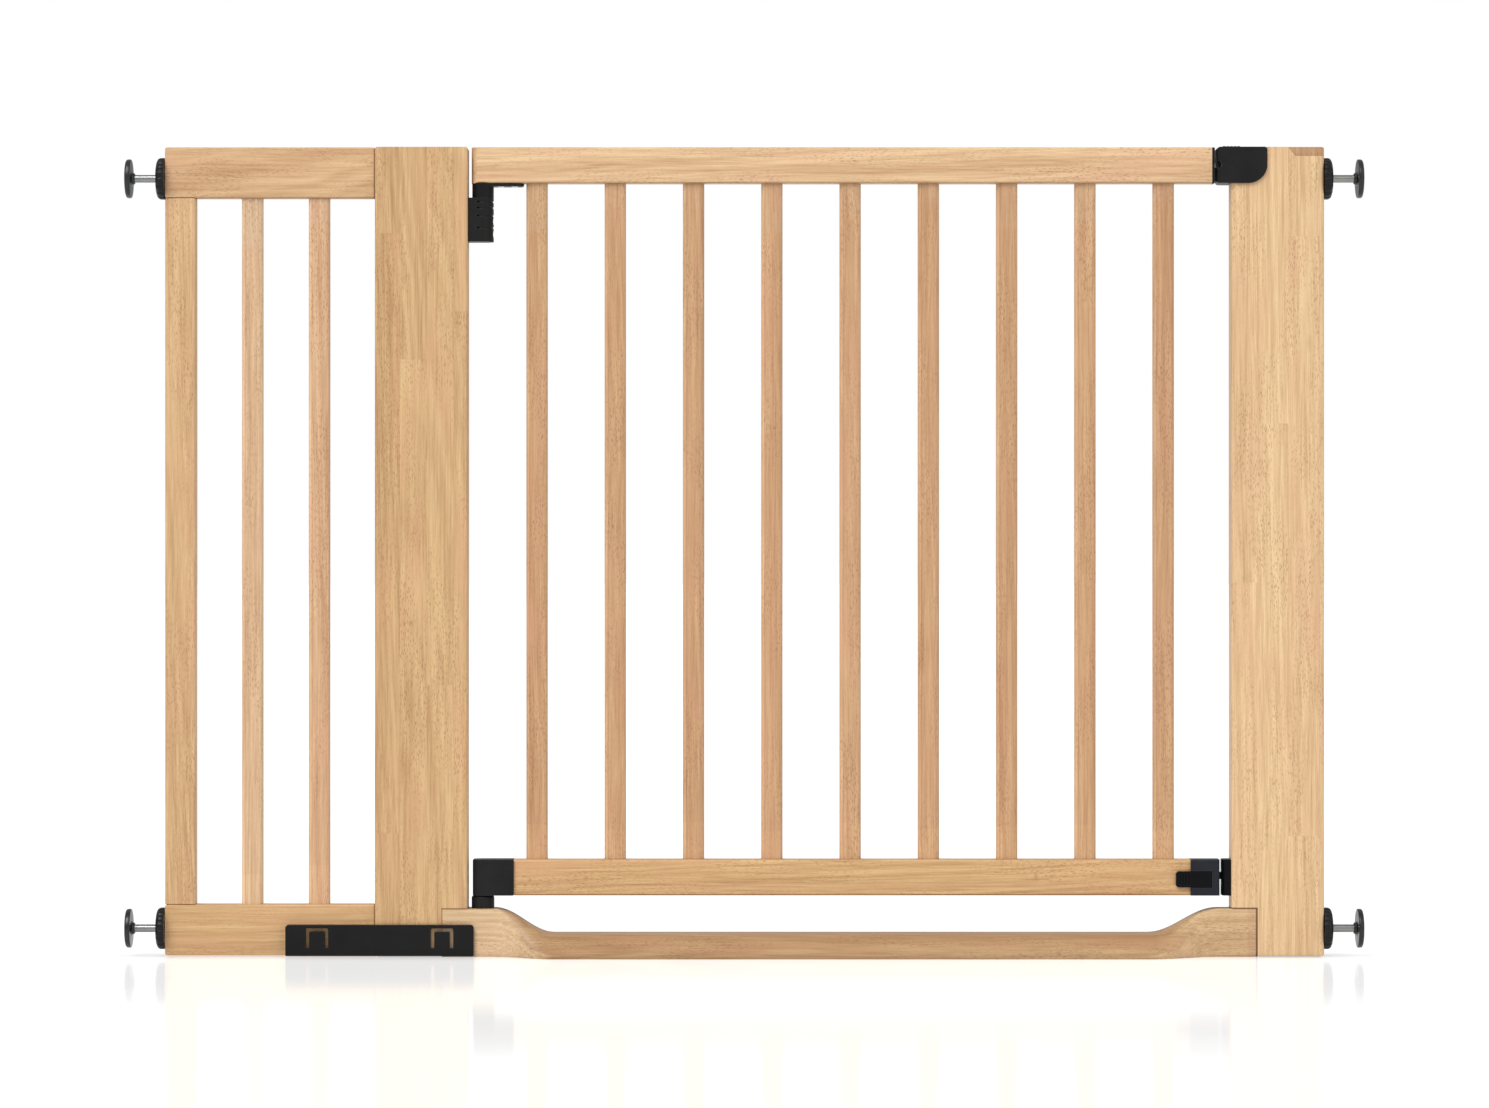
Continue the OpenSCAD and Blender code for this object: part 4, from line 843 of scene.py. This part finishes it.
def sun(name, azimuth, elevation, strength, angle):
    """Soft sun. Azimuth 0 shines along +Y, 90 along -X; elevation is above the horizon."""
    lamp = bpy.data.lights.new(name, "SUN")
    lamp.energy = strength
    lamp.angle = math.radians(angle)
    thing = bpy.data.objects.new(name, lamp)
    a, e = math.radians(azimuth), math.radians(elevation)
    towards = Vector((-math.sin(a) * math.cos(e), math.cos(a) * math.cos(e), -math.sin(e)))
    thing.rotation_euler = towards.to_track_quat("-Z", "Y").to_euler()
    bpy.context.scene.collection.objects.link(thing)


def build_light():
    """White studio: two soft suns, and a background that shows whiter than it lights."""
    world = bpy.data.worlds.new("studio")
    world.use_nodes = True
    tree = world.node_tree
    background = tree.nodes["Background"]
    seen = add(tree, "LightPath").outputs["Is Camera Ray"]
    strength = remap(tree, seen, 0.0, 1.0, 0.50, 1.0)
    tree.links.new(strength, background.inputs["Strength"])
    background.inputs["Color"].default_value = WHITE
    bpy.context.scene.world = world
    sun("key", -32, 50, 2.05, 34)
    sun("fill", 42, 32, 0.55, 60)
    bpy.context.scene.view_settings.view_transform = "Standard"


def build_camera():
    """Level camera facing the gate's front, half way up."""
    height = 402.8 * MM
    distance = 4.884
    # What the picture spans from side to side, at the posts' front
    view_width = 1489 * MM
    post_front = 14 * MM
    data = bpy.data.cameras.new("camera")
    data.sensor_width = 36
    data.lens = data.sensor_width * (distance - post_front) / view_width
    data.clip_end = 200
    camera = bpy.data.objects.new("camera", data)
    camera.location = (0.2 * MM, -distance, height)
    camera.rotation_euler = (math.radians(90), 0, 0)
    bpy.context.scene.collection.objects.link(camera)
    bpy.context.scene.camera = camera


build_camera()
build_light()
build_stage()
finish_boards()
steel = finish_fittings()
spindle_steel = steel_material("spindle_steel", (0.05, 1, 1), 0.42, 0.22)
rubber = plastic_material("pad_rubber", (0.0065, 0.0065, 0.0070), 0.30, 0.03 * MM, 0.5)
wheel_black = plastic_material("wheel_plastic", (0.0060, 0.0060, 0.0064), 0.34, 0.04 * MM, 0.22)
for corner in CORNERS:
    threaded_rod(corner, spindle_steel)
    hand_wheel(corner, wheel_black)
    wall_pad(corner, rubber)
coil_spring(steel)
